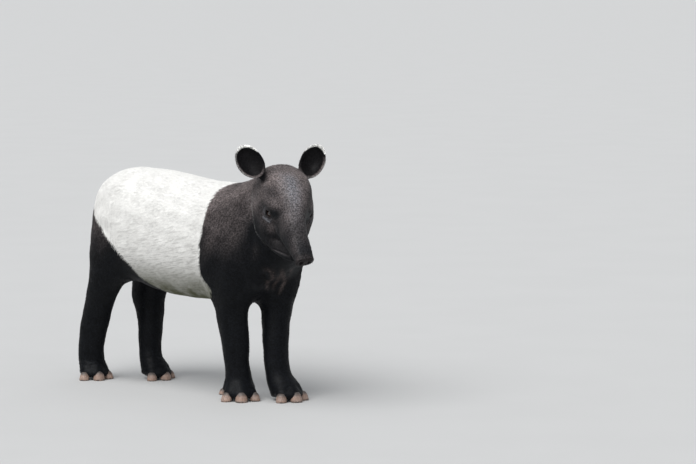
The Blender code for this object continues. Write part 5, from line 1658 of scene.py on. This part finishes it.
def coat_material(name, tree_group, bump, sheen):
    """Hair or skin: the coat's colours, duller on the white, with a soft sheen."""
    material, tree, shader = principled(name)
    marks = add(tree, "ShaderNodeGroup", node_tree=tree_group)
    for mask in COAT_MASKS:
        tree.links.new(stored(tree, mask), marks.inputs[mask])
    tree.links.new(marks.outputs["Color"], shader.inputs["Base Color"])
    rough = ramp(tree, marks.outputs["Dull share"], 0, 1, *COAT_ROUGHNESS, False)
    rough = plus(tree, rough, ramp(tree, noise(tree, 30, 3), 0.3, 0.7, -0.07, 0.07))
    tree.links.new(rough, shader.inputs["Roughness"])
    relief(tree, shader, marks.outputs["Height"], bump, 0.0010)
    shader.inputs["Sheen Weight"].default_value = sheen
    shader.inputs["Sheen Roughness"].default_value = 0.45
    shader.inputs["Specular IOR Level"].default_value = 0.10
    return material


def horn_material(h):
    """Hoof horn: pinkish brown with upright streaks and paler growth rings, darker towards the top with
    patches of soil there, and darkened by wear at the edge of the sole."""
    material, tree, shader = principled("hoof horn")
    level, shade = stored(tree, "level"), stored(tree, "shade")
    streak = noise(tree, 1.0, 3, 0.6, stretch=(420, 420, 40))
    colour = mixed(tree, ramp(tree, streak, 0.35, 0.65), h.horn, h.horn_dark)
    colour = mixed(tree, ramp(tree, shade, 0, 1, 0, 0.60), colour, h.horn_dark)
    rings = noise(tree, 1.0, 2, 0.5, stretch=(20, 20, 520))
    colour = mixed(tree, ramp(tree, rings, 0.45, 0.65, 0, 0.35), colour, h.horn_pale)
    colour = mixed(tree, ramp(tree, level, 0.26, 0.74, 0, 0.90), colour, h.sole)
    soil = times(tree, ramp(tree, level, 0.25, 0.75, 0.15, 0.8), ramp(tree, noise(tree, 90, 3), 0.38, 0.62))
    lit_top_or_worn_edge = times(tree, ramp(tree, level, 0.16, 0.02), ramp(tree, noise(tree, 150, 3), 0.35, 0.6))
    colour = mixed(tree, lit_top_or_worn_edge, mixed(tree, soil, colour, h.sole), h.sole)
    tree.links.new(colour, shader.inputs["Base Color"])
    tree.links.new(ramp(tree, streak, 0.3, 0.7, 0.42, 0.62), shader.inputs["Roughness"])
    relief(tree, shader, plus(tree, streak, rings), 0.35, 0.0008)
    return material


def eye_material(e):
    """A wet dark eye: pupil, brown iris with rays, and a dark brown white, under a clear coat."""
    material, tree, shader = principled("wet eye")
    axis, turn = stored(tree, "axis"), stored(tree, "turn")
    around = add(tree, "ShaderNodeCombineXYZ", links={0: turn, 1: axis}).outputs[0]
    rays = noise(tree, 6.0, 3.0, at=around)
    iris = mixed(tree, ramp(tree, rays, 0.35, 0.65), e.iris, e.iris_dark)
    colour = mixed(tree, ramp(tree, axis, 0.085, 0.105), PUPIL, iris)
    colour = mixed(tree, ramp(tree, axis, 0.19, 0.22), colour, e.rim)
    tree.links.new(colour, shader.inputs["Base Color"])
    tree.links.new(ramp(tree, rays, 0.3, 0.7, 0.10, 0.18), shader.inputs["Roughness"])
    shader.inputs["Coat Weight"].default_value = 1.0
    shader.inputs["Coat Roughness"].default_value = 0.03
    return material


def floor_material(s):
    """A pale plastered floor with faint cloudy tones."""
    material, tree, shader = principled("pale floor")
    shade = ramp(tree, noise(tree, 2.5, 2, 0.5), 0.3, 0.7, 0.0, 1.0)
    darker = tuple(v * 0.985 for v in s.floor)
    tree.links.new(mixed(tree, shade, s.floor, darker), shader.inputs["Base Color"])
    grain = noise(tree, 260, 2, 0.6)
    tree.links.new(ramp(tree, grain, 0.3, 0.7, 0.8, 0.95), shader.inputs["Roughness"])
    relief(tree, shader, grain, 0.1, 0.0005)
    return material


# Stage

CAMERA_AT = (-6.465, -7.116, 1.450)
CAMERA_TURN = (radians(84.64), 0.0, radians(-45.0))
CAMERA_LENS = 147.72         # mm
SENSOR_WIDTH = 36.0          # mm
FLOOR_REACH = 200.0


def make_stage(s):
    """A wide level floor, a soft sky, a broad sun for the key light, and the camera."""
    camera = bpy.data.objects.new("camera", bpy.data.cameras.new("camera"))
    camera.location, camera.rotation_euler = CAMERA_AT, CAMERA_TURN
    camera.data.lens, camera.data.sensor_width = CAMERA_LENS, SENSOR_WIDTH
    camera.data.clip_end = 500.0
    bpy.context.scene.collection.objects.link(camera)
    bpy.context.scene.camera = camera
    corners = [(x * FLOOR_REACH, y * FLOOR_REACH, 0) for x, y in ((-1, -1), (1, -1), (1, 1), (-1, 1))]
    floor = new_mesh("floor", corners, [(0, 1, 2, 3)])
    floor.data.materials.append(floor_material(s))
    floor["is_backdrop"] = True
    world = bpy.data.worlds.new("studio")
    world.use_nodes = True
    light = world.node_tree.nodes["Background"].inputs
    light["Color"].default_value, light["Strength"].default_value = (*s.sky, 1), s.sky_strength
    bpy.context.scene.world = world
    for name, turn, power, spread in (("key", (34, 0, -80), s.key, 50), ("fill", (62, 0, -50), s.fill, 90)):
        lamp = bpy.data.objects.new(name, bpy.data.lights.new(name, "SUN"))
        lamp.data.energy, lamp.data.angle = power, radians(spread)
        lamp.rotation_euler = [radians(v) for v in turn]
        bpy.context.scene.collection.objects.link(lamp)
    bpy.context.scene.view_settings.view_transform = "Standard"


# Settings

def number(name, description, default, low, high, **more):
    return bpy.props.FloatProperty(name=name, description=description, default=default, min=low, max=high,
                                   **more)


def colour(name, description, default):
    return bpy.props.FloatVectorProperty(name=name, description=description, default=default, size=3,
                                         min=0.0, max=1.0, subtype="COLOR")


class TapirCoat(bpy.types.PropertyGroup):
    coat_depth: number("Coat depth", "How far the skin lies inside the solids", 0.0015, 0.0, 0.01,
                       unit="LENGTH")
    spacing: number("Spacing", "Distance between tufts, as a share of the usual", 1.0, 0.6, 4.0,
                    subtype="FACTOR")
    size: number("Tuft size", "Size of the tufts, as a share of the usual", 1.0, 0.3, 2.0,
                 subtype="FACTOR")
    seed: bpy.props.IntProperty(name="Seed", description="Start of the random draws", default=7, min=0)
    black: colour("Black", "Black hair low on the body", (0.0042, 0.0048, 0.0062))
    # Painted highlight: the brown laid on black hair where light from above falls
    lit_brown: colour("Lit brown", "Black hair where the light has worn it", (0.160, 0.134, 0.130))
    white: colour("White", "White hair", (0.88, 0.87, 0.84))
    grey: colour("Grey", "Streaks in the white hair", (0.62, 0.61, 0.585))
    # Partly dirt, partly painted shade low on the saddle
    grime_and_low_shade: colour("Grime and low shade", "Dirt low on the saddle", (0.098, 0.101, 0.056))
    bare: colour("Bare skin", "Skin at the snout's tip", (0.145, 0.112, 0.104))
    hollow: colour("Ear inside", "Skin inside the ears", (0.007, 0.0065, 0.0072))
    # Painted sheen: the bluish grey laid round the eyes, on the bridge of the snout and along the ridges
    ash: colour("Ash", "Grey hair round the eyes and on the bridge of the snout", (0.128, 0.134, 0.150))


class TapirHooves(bpy.types.PropertyGroup):
    rings: number("Growth rings", "Depth of the rings, as a share of the hoof's width", 0.016, 0.0, 0.05)
    horn: colour("Horn", "Colour of the horn", (0.52, 0.345, 0.265))
    horn_dark: colour("Dark horn", "Streaks in the horn", (0.250, 0.165, 0.128))
    horn_pale: colour("Pale horn", "Growth rings in the horn", (0.34, 0.30, 0.285))
    sole: colour("Sole edge", "Worn edge of the sole, and soil on the horn", (0.062, 0.053, 0.049))


class TapirEyes(bpy.types.PropertyGroup):
    cornea: number("Cornea", "How far the cornea stands out, as a share of the eye's radius",
                   0.05, 0.0, 0.15)
    iris: colour("Iris", "Rays of the iris", (0.045, 0.022, 0.010))
    iris_dark: colour("Dark iris", "Between the rays", (0.018, 0.009, 0.005))
    rim: colour("White of the eye", "Round the iris, mostly under the lids", (0.060, 0.040, 0.032))


class TapirStage(bpy.types.PropertyGroup):
    floor: colour("Floor", "Colour of the floor", (0.56, 0.56, 0.555))
    sky: colour("Sky", "Colour of the light from all round", (0.93, 0.96, 1.0))
    sky_strength: number("Sky strength", "Light from all round", 0.50, 0.0, 5.0)
    key: number("Key light", "Strength of the broad light from above", 2.6, 0.0, 20.0)
    fill: number("Fill light", "Strength of the light from the camera's side", 0.27, 0.0, 20.0)


# Operators

MATERIALS = {}


def coat_look(which):
    """The coat's material for skin or hair, from one shared group of markings."""
    if "group" not in MATERIALS:
        MATERIALS["group"] = coat_group(streak_group(), bpy.context.scene.tapir_coat)
        MATERIALS["skin"] = coat_material("coated skin", MATERIALS["group"], 0.50, 0.03)
        MATERIALS["hair"] = coat_material("short hair", MATERIALS["group"], 0.12, 0.05)
    return MATERIALS[which]


class TAPIR_OT_stage(bpy.types.Operator):
    """Set up the floor, the lights and the camera"""
    bl_idname, bl_label = "tapir.stage", "Stage"

    def execute(self, context):
        make_stage(context.scene.tapir_stage)
        return {"FINISHED"}


class TAPIR_OT_skin(bpy.types.Operator):
    """Make the one skin that replaces the solids of flesh"""
    bl_idname, bl_label = "tapir.skin", "Skin"

    def execute(self, context):
        dress(make_skin(context.scene.tapir_coat), coat_look("skin"), "black coat", *FLESH)
        return {"FINISHED"}


class TAPIR_OT_coat(bpy.types.Operator):
    """Grow the short coat on the skin, one piece for each zone"""
    bl_idname, bl_label = "tapir.coat", "Coat"

    def execute(self, context):
        if not SKIN:
            raise RuntimeError("the coat needs the skin first")
        for piece, zone in make_coat(context.scene.tapir_coat):
            white = zone in ("coat_ribs", "coat_loin", "coat_rump")
            dress(piece, coat_look("hair"), "white coat" if white else "black coat")
        return {"FINISHED"}


class TAPIR_OT_long_hair(bpy.types.Operator):
    """Grow the white fringe of the ears, the whiskers and the lashes"""
    bl_idname, bl_label = "tapir.long_hair", "Ear fringe and whiskers"

    def execute(self, context):
        if not SKIN:
            raise RuntimeError("the long hair needs the skin first")
        dress(make_fringe(context.scene.tapir_coat), coat_look("hair"), "white coat")
        dress(make_whiskers(context.scene.tapir_coat), coat_look("hair"), "black coat")
        return {"FINISHED"}


class TAPIR_OT_hooves(bpy.types.Operator):
    """Make the fourteen hooves, one piece for each foot"""
    bl_idname, bl_label = "tapir.hooves", "Hooves"

    def execute(self, context):
        material = horn_material(context.scene.tapir_hooves)
        for leg in LEGS:
            toes = [f"hoof_{leg}_{name}" for name, *_ in foot_toes(leg)]
            dress(make_hooves(leg, context.scene.tapir_hooves), material, "hoof horn", *toes)
        return {"FINISHED"}


class TAPIR_OT_eyes(bpy.types.Operator):
    """Make both eyeballs"""
    bl_idname, bl_label = "tapir.eyes", "Eyes"

    def execute(self, context):
        material = eye_material(context.scene.tapir_eyes)
        for side, node in ((1, "eye_l"), (-1, "eye_r")):
            dress(make_eyeball(side, context.scene.tapir_eyes), material, "eye", node)
        return {"FINISHED"}


class TAPIR_PT_panel(bpy.types.Panel):
    bl_idname, bl_label = "TAPIR_PT_panel", "Malayan tapir"
    bl_space_type, bl_region_type, bl_category = "VIEW_3D", "UI", "Tapir"

    def draw(self, context):
        for step in OPERATORS:
            self.layout.operator(step.bl_idname)
        for holder in (context.scene.tapir_coat, context.scene.tapir_hooves, context.scene.tapir_eyes,
                       context.scene.tapir_stage):
            box = self.layout.box()
            for key in holder.bl_rna.properties.keys():
                if key not in ("rna_type", "name"):
                    box.prop(holder, key)


SETTINGS = {"tapir_coat": TapirCoat, "tapir_hooves": TapirHooves, "tapir_eyes": TapirEyes,
            "tapir_stage": TapirStage}
OPERATORS = (TAPIR_OT_stage, TAPIR_OT_skin, TAPIR_OT_coat, TAPIR_OT_long_hair, TAPIR_OT_hooves,
             TAPIR_OT_eyes)


def register():
    for kind in (*SETTINGS.values(), *OPERATORS, TAPIR_PT_panel):
        bpy.utils.register_class(kind)
    for name, kind in SETTINGS.items():
        setattr(bpy.types.Scene, name, bpy.props.PointerProperty(type=kind))


def unregister():
    for name in SETTINGS:
        delattr(bpy.types.Scene, name)
    for kind in (TAPIR_PT_panel, *reversed(OPERATORS), *SETTINGS.values()):
        bpy.utils.unregister_class(kind)


def main():
    register()
    bpy.ops.tapir.stage()
    bpy.ops.tapir.skin()
    bpy.ops.tapir.coat()
    bpy.ops.tapir.long_hair()
    bpy.ops.tapir.hooves()
    bpy.ops.tapir.eyes()
    boxes = {"cad": CAD_BOX, "visual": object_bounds()}
    plain = {name: [[float(v) for v in corner] for corner in box] for name, box in boxes.items()}


if __name__ == "__main__":
    main()
